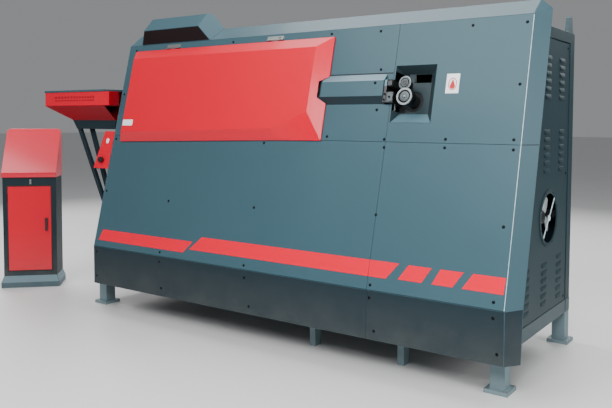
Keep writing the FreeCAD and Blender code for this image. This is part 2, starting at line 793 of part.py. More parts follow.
def tray_box():
    # red trough: upright walls, a lip that reaches to the cover, and a sloping underside
    t = sheet
    inlet = cover_point(0, bar_v, bar_w)
    left = tray_left
    right = tray_body_right
    end_wall = box(left, left + t, tray_front + t, tray_back - t, tray_z0, tray_z1)
    end_wall = end_wall.cut(rod(24.5, (left - 5, inlet.y, inlet.z), (left + 8, inlet.y, inlet.z)))
    walls = [end_wall, box(left, tray_right, tray_front, tray_front + t, tray_z0, tray_z1),
             box(left, right, tray_back - t, tray_back, tray_z0, tray_z1),
             box(tray_right - t, tray_right, tray_front + t, 238.0, tray_z0, tray_z1)]
    y0 = tray_beam_y0 - 2
    y1 = tray_beam_y1 + 2
    low_left = left + 200
    z0 = tray_z0 - 0.3
    z1 = tray_slope_z
    low_z = z1 + t
    for edge, low_edge, inward in ((tray_front, y0, t), (tray_back, y1, -t)):
        side = ((left, edge, z0), (right, edge, z0), (right, low_edge, low_z), (low_left, low_edge, low_z))
        walls.append(prism(side, (0, inward, 0)))
    end = ((left, tray_front + t, z0), (left, tray_back - t, z0), (low_left, y1 - t, low_z),
           (low_left, y0 + t, low_z))
    walls.append(prism(end, (t, 0, 0)))
    walls.append(box(low_left, right, y0, y1, z1, z1 + t))
    return group(walls)


def tray_supports():
    # box beam under the trough, two diagonal struts and the lug they stand on
    y0 = tray_beam_y0
    beam = prism([(tray_left + 202, y0, tray_slope_z), (tray_body_right - 2, y0, tray_slope_z),
                  (tray_body_right - 2, y0, tray_box_z), (tray_left + 252, y0, tray_box_z)],
                 (0, tray_beam_y1 - y0, 0))
    foot_x = frame_left - 40
    foot_z = 620.0
    pieces = [beam]
    for y, top_x in ((y0 + 2, tray_left + 256), (tray_beam_y1 - 26, tray_left + 336)):
        outline = [(top_x, y, tray_box_z), (top_x + 34, y, tray_box_z), (foot_x + 30, y, foot_z),
                   (foot_x - 2, y, foot_z)]
        pieces.append(prism(outline, (0, 24, 0)))
    pieces.append(box(foot_x - 12, frame_left - sheet, y0 - 4, tray_beam_y1 + 4, foot_z - 40, foot_z))
    return group(pieces)


def inlet_guide():
    # flared ring where the bar enters, and upright rollers on a shelf that centre it
    p = cover_point(0, bar_v, bar_w)
    x0 = tray_left - 14
    mouth = rod(24, (x0, p.y, p.z), (x0 + 40, p.y, p.z))
    mouth = mouth.fuse(rod(27, (tray_left + sheet, p.y, p.z), (tray_left + sheet + 8, p.y, p.z)))
    mouth = mouth.cut(rod(12, (x0 - 1, p.y, p.z), (x0 + 41, p.y, p.z)))
    mouth = mouth.cut(Part.makeCone(22, 12, 10, Vec(x0, p.y, p.z), Vec(1, 0, 0)))
    shelf = box(tray_left + 110, tray_body_right - 60, tray_front + 10, 340, tray_z0 + 2, tray_z0 + 12)
    pieces = [mouth, shelf]
    for x in (-640.0, -420.0):
        for side in (-1, 1):
            y = p.y + side * 34
            pieces.append(rod(25, (x, y, tray_z0 + 12), (x, y, tray_z1 - 6)))
    return group(pieces)


# ---- stop station ------------------------------------------------------------------------

def stop_plate():
    # red bracket that leans with the cover at its inlet end
    outline = ((-166, 830), (-62, 830), (-62, 556), (-226, 556))
    plate = prism([(x, v, -5) for x, v in outline], (0, 0, 5))
    edge = ((-166, 830), (-162, 830), (-222, 556), (-226, 556))
    back = prism([(x, v, stop_flange_w) for x, v in edge], (0, 0, -5 - stop_flange_w))
    plate = plate.cut(rod(11.1, (-140, 616, -10), (-140, 616, 5)))
    return on_cover(group([plate, back]))


def stop_knob():
    knob = rod(20, (-140, 616, 8), (-140, 616, 26))
    return on_cover(knob.fuse(rod(11, (-140, 616, -24), (-140, 616, 8))).removeSplitter())


# ---- console -----------------------------------------------------------------------------

def console_plinth():
    lower = box(0, plinth_w, 0, plinth_d, 0, plinth_h)
    s = shoulder_in
    bottom = polygon([(0, 0, plinth_h), (plinth_w, 0, plinth_h), (plinth_w, plinth_d, plinth_h),
                      (0, plinth_d, plinth_h)])
    top = polygon([(s, s, shoulder_h), (plinth_w - s, s, shoulder_h),
                   (plinth_w - s, plinth_d - s, shoulder_h), (s, plinth_d - s, shoulder_h)])
    return at_console(lower.fuse(Part.makeLoft([bottom, top], True, True)).removeSplitter())


def console_cabinet():
    # sheet cabinet: sides, back, floor, and a front frame round the door opening
    s = shoulder_in
    x0 = s
    x1 = plinth_w - s
    y1 = plinth_d - s
    z0 = shoulder_h
    z1 = cabinet_top
    t = sheet
    sheets = [box(x0, x0 + t, s + t, y1 - t, z0, z1), box(x1 - t, x1, s + t, y1 - t, z0, z1),
              box(x0, x1, y1 - t, y1, z0, z1), box(x0 + t, x1 - t, s + t, y1 - t, z0, z0 + t),
              box(x0, x0 + 46, s, s + t, z0, z1), box(x1 - 46, x1, s, s + t, z0, z1),
              box(x0 + 46, x1 - 46, s, s + t, z0, 152), box(x0 + 46, x1 - 46, s, s + t, 796, z1)]
    return at_console(group(sheets))


def console_door():
    s = shoulder_in
    door = box(s + 40, plinth_w - s - 40, s - 6, s - 3, 138, 811)
    for x0, x1 in ((s + 40, s + 43), (plinth_w - s - 43, plinth_w - s - 40)):
        door = door.fuse(box(x0, x1, s - 6, s - 0.5, 138, 811))
    for z0, z1 in ((138, 141), (808, 811)):
        door = door.fuse(box(s + 40, plinth_w - s - 40, s - 6, s - 0.5, z0, z1))
    hole = rod(6 + running, (347, s - 20, 505), (347, s + 20, 505))
    return at_console(door.cut(hole).removeSplitter())


def console_handle():
    grip = box(337, 357, shoulder_in - 20, shoulder_in - 9, 451, 559)
    boss = rod(6, (347, shoulder_in - 9, 505), (347, shoulder_in + 10, 505))
    neck = rod(9, (347, shoulder_in - 9, 505), (347, shoulder_in - 6.3, 505))
    return at_console(grip.fuse(boss).fuse(neck).removeSplitter())


def console_hinge_list():
    s = shoulder_in
    pins = []
    for z in (220.0, 720.0):
        pin = rod(4, (s + 34, s - 5, z - 30), (s + 34, s - 5, z + 30))
        pins.append(pin.fuse(box(s + 30.5, s + 37.5, s - 3, s, z - 30, z + 30)).removeSplitter())
    return pins


def console_lid():
    # hood over the operator plate: two sides and a folded sheet over them
    x0 = shoulder_in - lid_side
    x1 = plinth_w - shoulder_in + lid_side
    t = sheet
    front = shoulder_in - lid_over
    back = plinth_d - shoulder_in + 8
    slope_y = front + lid_slope_back
    low = cabinet_top + 1
    knee = cabinet_top + lid_lip
    outside = ((front, low), (front, knee), (slope_y, lid_top), (back, lid_top), (back, low))
    inside = ((front + t, low), (front + t, knee - 1), (slope_y + 1, lid_top - t), (back - t, lid_top - t),
              (back - t, low))
    pieces = []
    for i in range(4):
        corners = (outside[i], outside[i + 1], inside[i + 1], inside[i])
        pieces.append(prism([(x0, y, z) for y, z in corners], (x1 - x0, 0, 0)))
    for x in (x0, x1 - t):
        pieces.append(prism([(x, y, z) for y, z in inside], (t, 0, 0)))
    return at_console(group(pieces))


def lid_hinge_list():
    y = plinth_d - shoulder_in + 14
    z = cabinet_top - 4
    pieces = []
    for x in (100.0, plinth_w - 100.0):
        barrel = rod(5, (x - 30, y, z), (x + 30, y, z))
        leaf = box(x - 30, x + 30, plinth_d - shoulder_in, y, z - 3, z + 3)
        pieces.append(barrel.fuse(leaf).removeSplitter())
    return pieces


def console_hardware():
    # door and lid hinges and the latch plate above the door
    s = shoulder_in
    body = box(223, 237, s - 6, s - 0.3, 830, 868)
    barrel = rod(5, (230, s - 10, 849), (230, s - 6, 849))
    latch = body.fuse(barrel).removeSplitter()
    return at_console(group([latch] + console_hinge_list() + lid_hinge_list()))


def console_panel():
    # sloping operator plate under the lid, with a screen bezel
    s = shoulder_in
    x0 = s + 8
    x1 = plinth_w - s - 8
    y0 = s + 12
    y1 = plinth_d - s - 24
    z0 = cabinet_top - 30
    slope = 200.0
    plate = prism([(x0, y0, z0), (x0, y1, z0 + slope), (x0, y1 + 4, z0 + slope), (x0, y0 + 4, z0 - 3)],
                  (x1 - x0, 0, 0))
    mid = s + 44
    z = z0 + (mid - y0) * slope / (y1 - y0)
    plate = plate.cut(rod(9.6, (button_x, mid - 60, z + 54), (button_x, mid + 60, z - 54)))
    return at_console(plate)


def panel_normal_point(out):
    s = shoulder_in
    y0 = s + 12
    y1 = plinth_d - s - 24
    z0 = cabinet_top - 30
    mid = s + 44
    z = z0 + (mid - y0) * 200.0 / (y1 - y0)
    return (mid - 60 * out, z + 54 * out)


def stop_button():
    # mushroom button on the operator plate
    inner = panel_normal_point(-0.24)
    near = panel_normal_point(0.10)
    face = panel_normal_point(0.38)
    stem = rod(9.5, (button_x, inner[0], inner[1]), (button_x, near[0], near[1]))
    cap = rod(18, (button_x, near[0], near[1]), (button_x, face[0], face[1]))
    return at_console(stem.fuse(cap).removeSplitter())


def drive_cabinet():
    # servo drives on a plate in the console's lower part
    s = shoulder_in
    plate = box(s + 20, plinth_w - s - 20, plinth_d - s - 16, plinth_d - s - 8, 160, 780)
    for i in range(3):
        x = s + 40 + i * 105
        plate = plate.fuse(box(x, x + 80, plinth_d - s - 130, plinth_d - s - 16, 460, 700))
    plate = plate.fuse(box(s + 40, plinth_w - s - 60, plinth_d - s - 90, plinth_d - s - 16, 220, 380))
    return at_console(plate)


nodes = {
    "base_frame": base_frame(),
    "cross_members": cross_members(),
    "feet": feet(),
    "upper_frame": upper_frame(),
    "frame_brackets": frame_brackets(),
    "lifting_hooks": lifting_hooks(),
    "upper_left_panel": upper_left_panel(),
    "upper_right_panel": upper_right_panel(),
    "lower_panels": lower_panels(),
    "top_cover": top_cover(),
    "right_end_cover": right_end_cover(),
    "left_end_cover": left_end_cover(),
    "drive_hood": drive_hood(),
    "right_side_panel": right_side_panel(),
    "outer_panels": outer_panels(),
    "fan_guard": fan_guard(),
    "fan_rotor": fan_rotor(),
    "fan_motor": fan_motor(),
    "feed_door": feed_door(),
    "door_hinges": door_hinges(),
    "door_knuckles": door_knuckles(),
    "tunnel_cover": tunnel_cover(),
    "window_box": window_box(),
    "cutter_block": cutter_block(),
    "cutter_blade": cutter_blade(),
    "head_quill": head_quill(),
    "mandrel": mandrel(),
    "bend_arm": bend_arm(),
    "bend_roller": bend_roller(),
    "head_housing": head_housing(),
    "feed_plate": feed_plate(),
    "wheel_axles": wheel_axles(),
    "bar_guides": bar_guides(),
    "straightener_screws": straightener_screws(),
    "feed_drive": feed_drive(),
    "tray_cap": tray_cap(),
    "tray_box": tray_box(),
    "tray_supports": tray_supports(),
    "inlet_guide": inlet_guide(),
    "stop_plate": stop_plate(),
    "stop_knob": stop_knob(),
    "console_plinth": console_plinth(),
    "console_cabinet": console_cabinet(),
    "console_door": console_door(),
    "console_handle": console_handle(),
    "console_lid": console_lid(),
    "console_hardware": console_hardware(),
    "console_panel": console_panel(),
    "console_drives": drive_cabinet(),
    "stop_button": stop_button(),
    "measuring_wheel": plain_roller(*measure_place()),
}

for number, place in enumerate(roller_places(), 1):
    nodes["straightening_roller_" + str(number)] = plain_roller(*place)

for number, (x, v, half_step) in enumerate(feed_places(), 1):
    nodes["feed_wheel_" + str(number)] = group([feed_wheel(x, v), drive_gear(x, v, half_step)])

# the origin is under the middle of the whole object, on the floor
overall = FreeCAD.BoundBox()
for shape in nodes.values():
    overall.add(shape.BoundBox)
to_origin = Vec(-overall.Center.x, -overall.Center.y, -overall.ZMin)

os.makedirs("parts", exist_ok=True)
for name, shape in nodes.items():
    placed = shape.copy()
    placed.translate(to_origin)
    placed.exportStep("parts/" + name + ".step")
print("nodes", len(nodes), "shift", tuple(round(value, 3) for value in to_origin))
print("size", [round(value, 1) for value in (overall.XLength, overall.YLength, overall.ZLength)])
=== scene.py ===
import math
import bmesh
import bpy
from mathutils import Matrix, Vector


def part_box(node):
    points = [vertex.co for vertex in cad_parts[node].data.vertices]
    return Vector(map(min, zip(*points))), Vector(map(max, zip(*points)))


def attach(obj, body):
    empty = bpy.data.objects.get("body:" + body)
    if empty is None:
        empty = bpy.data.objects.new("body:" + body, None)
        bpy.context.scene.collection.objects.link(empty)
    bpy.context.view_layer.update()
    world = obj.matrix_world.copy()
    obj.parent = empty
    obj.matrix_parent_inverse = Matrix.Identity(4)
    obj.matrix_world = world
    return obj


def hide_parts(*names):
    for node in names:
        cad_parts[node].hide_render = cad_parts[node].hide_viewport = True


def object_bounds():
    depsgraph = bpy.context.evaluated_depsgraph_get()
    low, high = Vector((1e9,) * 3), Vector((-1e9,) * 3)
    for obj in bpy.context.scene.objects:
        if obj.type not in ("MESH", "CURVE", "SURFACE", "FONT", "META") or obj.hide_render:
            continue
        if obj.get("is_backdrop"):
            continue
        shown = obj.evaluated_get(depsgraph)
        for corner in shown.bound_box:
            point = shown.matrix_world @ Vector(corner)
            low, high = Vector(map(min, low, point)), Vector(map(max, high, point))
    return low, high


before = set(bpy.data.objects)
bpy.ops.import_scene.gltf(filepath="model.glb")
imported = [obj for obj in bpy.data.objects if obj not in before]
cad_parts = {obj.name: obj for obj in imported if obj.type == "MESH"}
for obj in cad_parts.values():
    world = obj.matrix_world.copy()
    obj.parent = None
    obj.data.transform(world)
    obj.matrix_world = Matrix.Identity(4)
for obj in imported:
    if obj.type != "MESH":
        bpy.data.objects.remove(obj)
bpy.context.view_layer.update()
scene = bpy.context.scene
print("frame loaded")

# where things are: machine lengths are in millimetres, from the skirt's foot line
machine = {"coverLeft": -55, "foldZ": 456, "foldTopY": 348, "foldTopZ": 1886, "sideX": 2912, "leftX": -197,
           "rearY": 1205, "consoleX": -1186, "consoleY": -31, "consoleTurn": 45, "shoulder": 18}
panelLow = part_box("upper_left_panel")[0]
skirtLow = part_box("lower_panels")[0]
shift = Vector((panelLow.x - machine["coverLeft"] / 1000, skirtLow.y, 0))
rise = machine["foldTopZ"] - machine["foldZ"]
leanSin = machine["foldTopY"] / math.hypot(machine["foldTopY"], rise)
leanCos = rise / math.hypot(machine["foldTopY"], rise)


def inMachine(x, y, z):
    return shift + Vector((x, y, z)) / 1000


def onCover(x, v, w):  # v runs up the leaning cover, w stands out from it
    return inMachine(x, v * leanSin - w * leanCos, machine["foldZ"] + v * leanCos + w * leanSin)


def onSkirt(x, z, out):
    return inMachine(x, -out, z)


def onSide(y, z, out):
    return inMachine(machine["sideX"] + out, y, z)


def onLeftSide(y, z, out):
    return inMachine(machine["leftX"] - out, y, z)


def onRear(x, z, out):
    return inMachine(x, machine["rearY"] + out, z)


def inConsole(x, y, z):
    turn = math.radians(machine["consoleTurn"])
    return inMachine(machine["consoleX"] + x * math.cos(turn) - y * math.sin(turn),
                     machine["consoleY"] + x * math.sin(turn) + y * math.cos(turn), z)


def onConsoleFront(x, z, out):
    return inConsole(x, machine["shoulder"] - out, z)


def onFront(y):  # for upright sheets that face the front at this depth
    return lambda x, z, out: inMachine(x, y - out, z)


def coverPoint(x, v, w):  # a place on the cover in the machine's millimetres
    return (onCover(x, v, w) - shift) * 1000


def slopeV(z):  # height above the floor to the distance up the cover
    return (z - machine["foldZ"]) / leanCos


# finishes
class Signal:  # a socket in a material, so that maths on it reads as maths
    def __init__(self, tree, socket=None):
        self.tree = tree
        self.socket = socket

    def node(self, kind, settings=None, inputs=None, out=0):
        made = self.tree.nodes.new(kind)
        for key, value in (settings or {}).items():
            if key == "stops":
                ramp = made.color_ramp
                while len(ramp.elements) < len(value):
                    ramp.elements.new(0.5)
                for element, (spot, colour) in zip(ramp.elements, value):
                    element.position = spot
                    element.color = colour
            else:
                setattr(made, key, value)
        for key, value in (inputs or {}).items():
            if isinstance(value, Signal):
                self.tree.links.new(value.socket, made.inputs[key])
            else:
                made.inputs[key].default_value = value
        return Signal(self.tree, made.outputs[out])

    def maths(self, operation, first, second=0.0, clamp=False):
        return self.node("ShaderNodeMath", {"operation": operation, "use_clamp": clamp},
                         {0: first, 1: second})

    def __add__(self, other):
        return self.maths("ADD", self, other)

    def __sub__(self, other):
        return self.maths("SUBTRACT", self, other)

    def __rsub__(self, other):
        return self.maths("SUBTRACT", other, self)

    def __mul__(self, other):
        return self.maths("MULTIPLY", self, other)

    __radd__ = __add__
    __rmul__ = __mul__

    def between(self, low, high):  # 0 below low, 1 above high
        return self.node("ShaderNodeMapRange", {"clamp": True}, {0: self, 1: low, 2: high, 3: 0.0, 4: 1.0})

    def tint(self, first, second):  # colour first where self is 0, second where it is 1
        return self.node("ShaderNodeMix", {"data_type": "RGBA"}, {0: self, 6: first, 7: second}, 2)

    def noise(self, scale, detail=2.0, roughness=0.5, stretch=(1, 1, 1)):
        spot = self.node("ShaderNodeTexCoord", out=3)
        if stretch != (1, 1, 1):
            spot = self.node("ShaderNodeVectorMath", {"operation": "MULTIPLY"}, {0: spot, 1: stretch})
        return self.node("ShaderNodeTexNoise", None,
                         {"Vector": spot, "Scale": scale, "Detail": detail, "Roughness": roughness})

    def height(self):  # metres above the floor
        spot = self.node("ShaderNodeTexCoord", out=3)
        return self.node("ShaderNodeSeparateXYZ", None, {0: spot}, 2)


def newLook(name):
    look = bpy.data.materials.new(name)
    look.use_nodes = True
    shader = look.node_tree.nodes["Principled BSDF"]
    return look, Signal(look.node_tree), shader


def join(tree, signal, socket):
    tree.links.new(signal.socket, socket)


def shade(colour, amount):
    return tuple(min(1.0, part * amount) for part in colour[:3]) + (1,)


softEdge = {"paint": 0.0016, "metal": 0.0009}  # how round the shading makes an edge, in metres
grime = {"reach": 0.45, "scale": 9.0, "share": 0.28, "rougher": 0.12, "colour": (0.30, 0.28, 0.25, 1)}
paints = {
    "machineGrey": {"colour": (0.034, 0.086, 0.110), "rough": 0.42, "peel": 0.05, "vary": 0.07, "coat": 0.06,
                    "gloss": 0.40},
    "skirtGrey": {"colour": (0.008, 0.021, 0.028), "rough": 0.50, "peel": 0.05, "vary": 0.08, "coat": 0.0,
                  "gloss": 0.25},
    "sideGrey": {"colour": (0.011, 0.033, 0.042), "rough": 0.52, "peel": 0.05, "vary": 0.10, "coat": 0.0,
                 "gloss": 0.25},
    "frameGrey": {"colour": (0.030, 0.064, 0.078), "rough": 0.48, "peel": 0.08, "vary": 0.14, "coat": 0.0,
                  "gloss": 0.35},
    "footGrey": {"colour": (0.13, 0.21, 0.24), "rough": 0.5, "peel": 0.1, "vary": 0.2, "coat": 0.0,
                 "gloss": 0.4},
    # near-black paint for the hood's front: painted shade standing in for the dark it reflects
    "hoodShadeDark": {"colour": (0.008, 0.003, 0.004), "rough": 0.55, "peel": 0.04, "vary": 0.2, "coat": 0.0,
                 "gloss": 0.2},
    # near-white paint: on the cover's folded corner it is a painted highlight; the fan strut wears it as well
    "edgeGlint": {"colour": (0.62, 0.80, 0.86), "rough": 0.30, "peel": 0.02, "vary": 0.08, "coat": 0.2,
                  "gloss": 0.5},
    "pillarRed": {"colour": (0.68, 0.0, 0.022), "rough": 0.36, "peel": 0.04, "vary": 0.04, "coat": 0.16,
                  "gloss": 0.22},
    "stripeRed": {"colour": (0.80, 0.0, 0.030), "rough": 0.55, "peel": 0.02, "vary": 0.03, "coat": 0.0,
                  "gloss": 0.12},
    "lidRed": {"colour": (0.68, 0.0, 0.030), "rough": 0.34, "peel": 0.03, "vary": 0.03, "coat": 0.75,
               "gloss": 0.4},
    "shadeRed": {"colour": (0.22, 0.0, 0.006), "rough": 0.40, "peel": 0.04, "vary": 0.06, "coat": 0.1,
                 "gloss": 0.3},
    # a lighter copy of the cover's grey: painted light on the tunnel's upper fold, the recess sill and the
    # plinth shoulder, where light from above falls; the fixed jaw cap wears it as well
    "paleGrey": {"colour": (0.105, 0.200, 0.245), "rough": 0.38, "peel": 0.04, "vary": 0.06, "coat": 0.1,
                 "gloss": 0.4},
    # a darker copy of the cover's grey: painted shade inside the window recess
    "recessShadeGrey": {"colour": (0.022, 0.040, 0.047), "rough": 0.48, "peel": 0.05, "vary": 0.08, "coat": 0.0,
                   "gloss": 0.3},
    "drivesGrey": {"colour": (0.30, 0.30, 0.29), "rough": 0.55, "peel": 0.03, "vary": 0.08, "coat": 0.0,
                   "gloss": 0.4},
    "motorBlack": {"colour": (0.012, 0.013, 0.015), "rough": 0.5, "peel": 0.12, "vary": 0.2, "coat": 0.0,
                   "gloss": 0.4},
    "bladeSilver": {"colour": (0.36, 0.40, 0.42), "rough": 0.30, "peel": 0.03, "vary": 0.12, "coat": 0.1,
                    "gloss": 0.6},
}


def paint(name, colour, rough, peel, vary, coat, gloss):
    look, sig, shader = newLook(name)
    tree = look.node_tree
    cloud = sig.noise(1.7, 4.0, 0.55)
    speck = sig.noise(260.0, 2.0)
    dust = (1 - sig.height().between(0.0, grime["reach"])) * sig.noise(grime["scale"], 5.0, 0.6)
    body = cloud.tint(shade(colour, 1 - vary), shade(colour, 1 + vary))
    body = (dust * grime["share"]).tint(body, grime["colour"])
    join(tree, body, shader.inputs["Base Color"])
    join(tree, rough - 0.05 + cloud * 0.08 + speck * 0.03 + dust * grime["rougher"],
         shader.inputs["Roughness"])
    shader.inputs["Coat Weight"].default_value = coat
    shader.inputs["Specular IOR Level"].default_value = gloss
    shader.inputs["Coat Roughness"].default_value = 0.12
    soft = sig.node("ShaderNodeBevel", {"samples": 3}, {"Radius": softEdge["paint"]})
    skin = sig.node("ShaderNodeBump", None,
                    {"Strength": peel, "Distance": 0.0006, "Height": speck, "Normal": soft})
    join(tree, skin, shader.inputs["Normal"])
    return look


metals = {
    "turnedSteel": {"colour": (0.27, 0.30, 0.31), "rough": 0.34, "grain": (1, 1, 60), "wear": 0.35},
    "faceSteel": {"colour": (0.115, 0.135, 0.142), "rough": 0.36, "grain": (1, 1, 40), "wear": 0.5},
    "darkSteel": {"colour": (0.085, 0.088, 0.092), "rough": 0.38, "grain": (40, 1, 1), "wear": 0.5},
    "chromePlate": {"colour": (0.78, 0.79, 0.80), "rough": 0.10, "grain": (1, 1, 1), "wear": 0.1},
    "castAluminium": {"colour": (0.70, 0.71, 0.72), "rough": 0.26, "grain": (1, 12, 12), "wear": 0.3},
    "blackOxide": {"colour": (0.012, 0.013, 0.015), "rough": 0.36, "grain": (1, 1, 1), "wear": 0.3},
    "zincPlate": {"colour": (0.36, 0.37, 0.37), "rough": 0.40, "grain": (1, 1, 1), "wear": 0.3},
}


def metal(name, colour, rough, grain, wear):
    look, sig, shader = newLook(name)
    tree = look.node_tree
    scratch = sig.noise(90.0, 3.0, 0.6, grain)
    film = sig.noise(22.0, 4.0, 0.6)
    body = (film * wear).tint(shade(colour, 1.08), shade(colour, 0.62))
    join(tree, body, shader.inputs["Base Color"])
    join(tree, rough - 0.06 + scratch * 0.12 + film * wear * 0.16, shader.inputs["Roughness"])
    shader.inputs["Metallic"].default_value = 1.0
    soft = sig.node("ShaderNodeBevel", {"samples": 3}, {"Radius": softEdge["metal"]})
    skin = sig.node("ShaderNodeBump", None,
                    {"Strength": 0.12, "Distance": 0.0003, "Height": scratch, "Normal": soft})
    join(tree, skin, shader.inputs["Normal"])
    return look


plastics = {
    "mattBlack": {"colour": (0.010, 0.010, 0.011), "rough": 0.5, "grainScale": 700.0},
    "buttonRed": {"colour": (0.62, 0.010, 0.012), "rough": 0.25, "grainScale": 500.0},
    "labelWhite": {"colour": (0.86, 0.88, 0.92), "rough": 0.42, "grainScale": 400.0},
    "labelRed": {"colour": (0.50, 0.0, 0.01), "rough": 0.42, "grainScale": 400.0},
    # near black: painted shade inside slits and slots, and the dark joints of seams
    "slotDark": {"colour": (0.006, 0.008, 0.009), "rough": 0.7, "grainScale": 300.0},
    "screenGlass": {"colour": (0.010, 0.014, 0.018), "rough": 0.12, "grainScale": 90.0},
}


def plastic(name, colour, rough, grainScale):
    look, sig, shader = newLook(name)
    tree = look.node_tree
    grain = sig.noise(grainScale, 2.0)
    film = sig.noise(14.0, 3.0, 0.6)
    join(tree, film.tint(shade(colour, 0.88), shade(colour, 1.12)), shader.inputs["Base Color"])
    join(tree, rough - 0.04 + film * 0.06 + grain * 0.05, shader.inputs["Roughness"])
    skin = sig.node("ShaderNodeBump", None, {"Strength": 0.10, "Distance": 0.0002, "Height": grain})
    join(tree, skin, shader.inputs["Normal"])
    return look


looks = {name: paint(name, **recipe) for name, recipe in paints.items()}
looks.update({name: metal(name, **recipe) for name, recipe in metals.items()})
looks.update({name: plastic(name, **recipe) for name, recipe in plastics.items()})

nodeLooks = {
    "machineGrey": ["upper_left_panel", "upper_right_panel", "top_cover", "right_end_cover", "left_end_cover",
                    "drive_hood", "tunnel_cover", "console_plinth", "tray_cap", "lower_panels"],
    "skirtGrey": ["outer_panels", "console_cabinet", "console_hardware", "tray_supports"],
    # the window recess wears painted shade
    "recessShadeGrey": ["window_box"],
    "shadeRed": ["tray_box"],
    "sideGrey": ["right_side_panel", "upper_frame"],
    "frameGrey": ["base_frame", "cross_members", "frame_brackets", "lifting_hooks"],
    "footGrey": ["feet"],
    "pillarRed": ["feed_door", "stop_plate", "console_door"],
    "lidRed": ["console_lid"],
    "drivesGrey": ["console_drives", "console_panel"],
    "motorBlack": ["head_housing", "feed_drive", "fan_motor", "fan_guard"],
    "turnedSteel": ["mandrel", "bend_roller", "measuring_wheel", "feed_plate", "wheel_axles",
                    "straightener_screws"],
    "darkSteel": ["cutter_block", "cutter_blade", "head_quill", "bend_arm", "bar_guides"]
                 + ["feed_wheel_%d" % n for n in range(1, 5)]
                 + ["straightening_roller_%d" % n for n in range(1, 6)],
    "zincPlate": ["door_hinges", "door_knuckles", "inlet_guide"],
    "castAluminium": ["fan_rotor"],
    "mattBlack": ["stop_knob", "console_handle"],
    "buttonRed": ["stop_button"],
}
for lookName, names in nodeLooks.items():
    for name in names:
        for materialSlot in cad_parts[name].material_slots:
            materialSlot.material = looks[lookName]
print("finishes ready")


# building blocks, in millimetres in the plane that place() puts them in
def rect(a0, a1, b0, b1):
    return [(a0, b0), (a1, b0), (a1, b1), (a0, b1)]


def rounded(a0, a1, b0, b1, radius, steps=5):
    outline = []
    for cx, cy, start in ((a1 - radius, b0 + radius, -90), (a1 - radius, b1 - radius, 0),
                          (a0 + radius, b1 - radius, 90), (a0 + radius, b0 + radius, 180)):
        for i in range(steps + 1):
            angle = math.radians(start + 90 * i / steps)
            outline.append((cx + radius * math.cos(angle), cy + radius * math.sin(angle)))
    return outline


def addPlate(bm, outline, low, high, look=0):
    lower = [bm.verts.new((a, b, low)) for a, b in outline]
    upper = [bm.verts.new((a, b, high)) for a, b in outline]
    faces = [bm.faces.new(lower[::-1]), bm.faces.new(upper)]
    for i in range(len(outline)):
        k = (i + 1) % len(outline)
        faces.append(bm.faces.new((lower[i], lower[k], upper[k], upper[i])))
    for face in faces:
        face.material_index = look


def addTurned(bm, a, b, profile, steps=48, look=0):
    # profile points (radius, height) turned about the outward axis at (a, b)
    rings = []
    for radius, height in profile:
        if radius < 1e-6:
            rings.append([bm.verts.new((a, b, height))] * steps)
        else:
            rings.append([bm.verts.new((a + radius * math.cos(2 * math.pi * i / steps),
                                        b + radius * math.sin(2 * math.pi * i / steps), height))
                          for i in range(steps)])
    for lower, upper in zip(rings, rings[1:]):
        for i in range(steps):
            k = (i + 1) % steps
            around = []
            for vert in (lower[i], lower[k], upper[k], upper[i]):
                if vert not in around:
                    around.append(vert)
            if len(around) > 2:
                bm.faces.new(around).material_index = look


def addFacing(bm, spots, proud, outward):
    # thin sheet lying on a flat facet given by its corner spots
    normal = (spots[1] - spots[0]).cross(spots[2] - spots[0]).normalized()
    if normal.dot(outward) < 0:
        normal = -normal
    closeSides(bm, [spot + normal * proud[0] for spot in spots], [spot + normal * proud[1] for spot in spots])


def closeSides(bm, lowSpots, highSpots):
    lower = [bm.verts.new(spot) for spot in lowSpots]
    upper = [bm.verts.new(spot) for spot in highSpots]
    bm.faces.new(lower)
    bm.faces.new(upper[::-1])
    for i in range(len(lower)):
        k = (i + 1) % len(lower)
        bm.faces.new((lower[i], lower[k], upper[k], upper[i]))


def finishPiece(name, bm, place, lookNames, body="machine", slot="body_paint", bevel=0.0, sharp=32):
    for vert in bm.verts:
        vert.co = place(*vert.co)
    bmesh.ops.recalc_face_normals(bm, faces=bm.faces)
    mesh = bpy.data.meshes.new(name)
    bm.to_mesh(mesh)
    bm.free()
    for lookName in lookNames.split():
        mesh.materials.append(looks[lookName])
    mesh.shade_smooth()
    mesh.set_sharp_from_angle(angle=math.radians(sharp))
    piece = bpy.data.objects.new(name, mesh)
    scene.collection.objects.link(piece)
    if bevel:
        rim = piece.modifiers.new("rim", "BEVEL")
        rim.width = bevel / 1000
        rim.segments = 3
        rim.limit_method = "ANGLE"
        rim.harden_normals = False
    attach(piece, body)
    return piece


def platePiece(name, outline, proud, place, look, **rest):
    bm = bmesh.new()
    addPlate(bm, outline, *proud)
    return finishPiece(name, bm, place, look, **rest)


def facingPiece(name, spots, proud, outward, look, **rest):
    bm = bmesh.new()
    addFacing(bm, spots, proud, outward)
    return finishPiece(name, bm, inMachine, look, **rest)


# skirts are a darker sheet than the leaning cover
skirt = {"left": -55, "right": 2960, "seam": 2204, "gap": 2, "low": 193, "high": 453, "proud": (0.05, 0.6)}
bm = bmesh.new()
for x0, x1 in ((skirt["left"], skirt["seam"] - skirt["gap"] / 2),
               (skirt["seam"] + skirt["gap"] / 2, skirt["right"])):
    addPlate(bm, rect(x0, x1, skirt["low"], skirt["high"]), *skirt["proud"])
finishPiece("skirt_facing", bm, onSkirt, "skirtGrey", bevel=0.2)

# the bevelled ends carry the same dark skirt, and a seam level with the cover's
ends = {"right": (2963.5, 3020), "left": (-58.5, -115), "lowBack": 75, "back": 100, "seamV": 800,
        "seamHalf": 1.6, "setIn": 0.03, "proud": (0.1, 0.7), "seamProud": (0.05, 0.4), "frontward": -60}


def facetPoint(xNear, xFar, v, t):  # t runs 0..1 from the front corner to the outer corner
    return Vector((xNear + (xFar - xNear) * t, v * leanSin + ends["back"] * t,
                   machine["foldZ"] + v * leanCos))


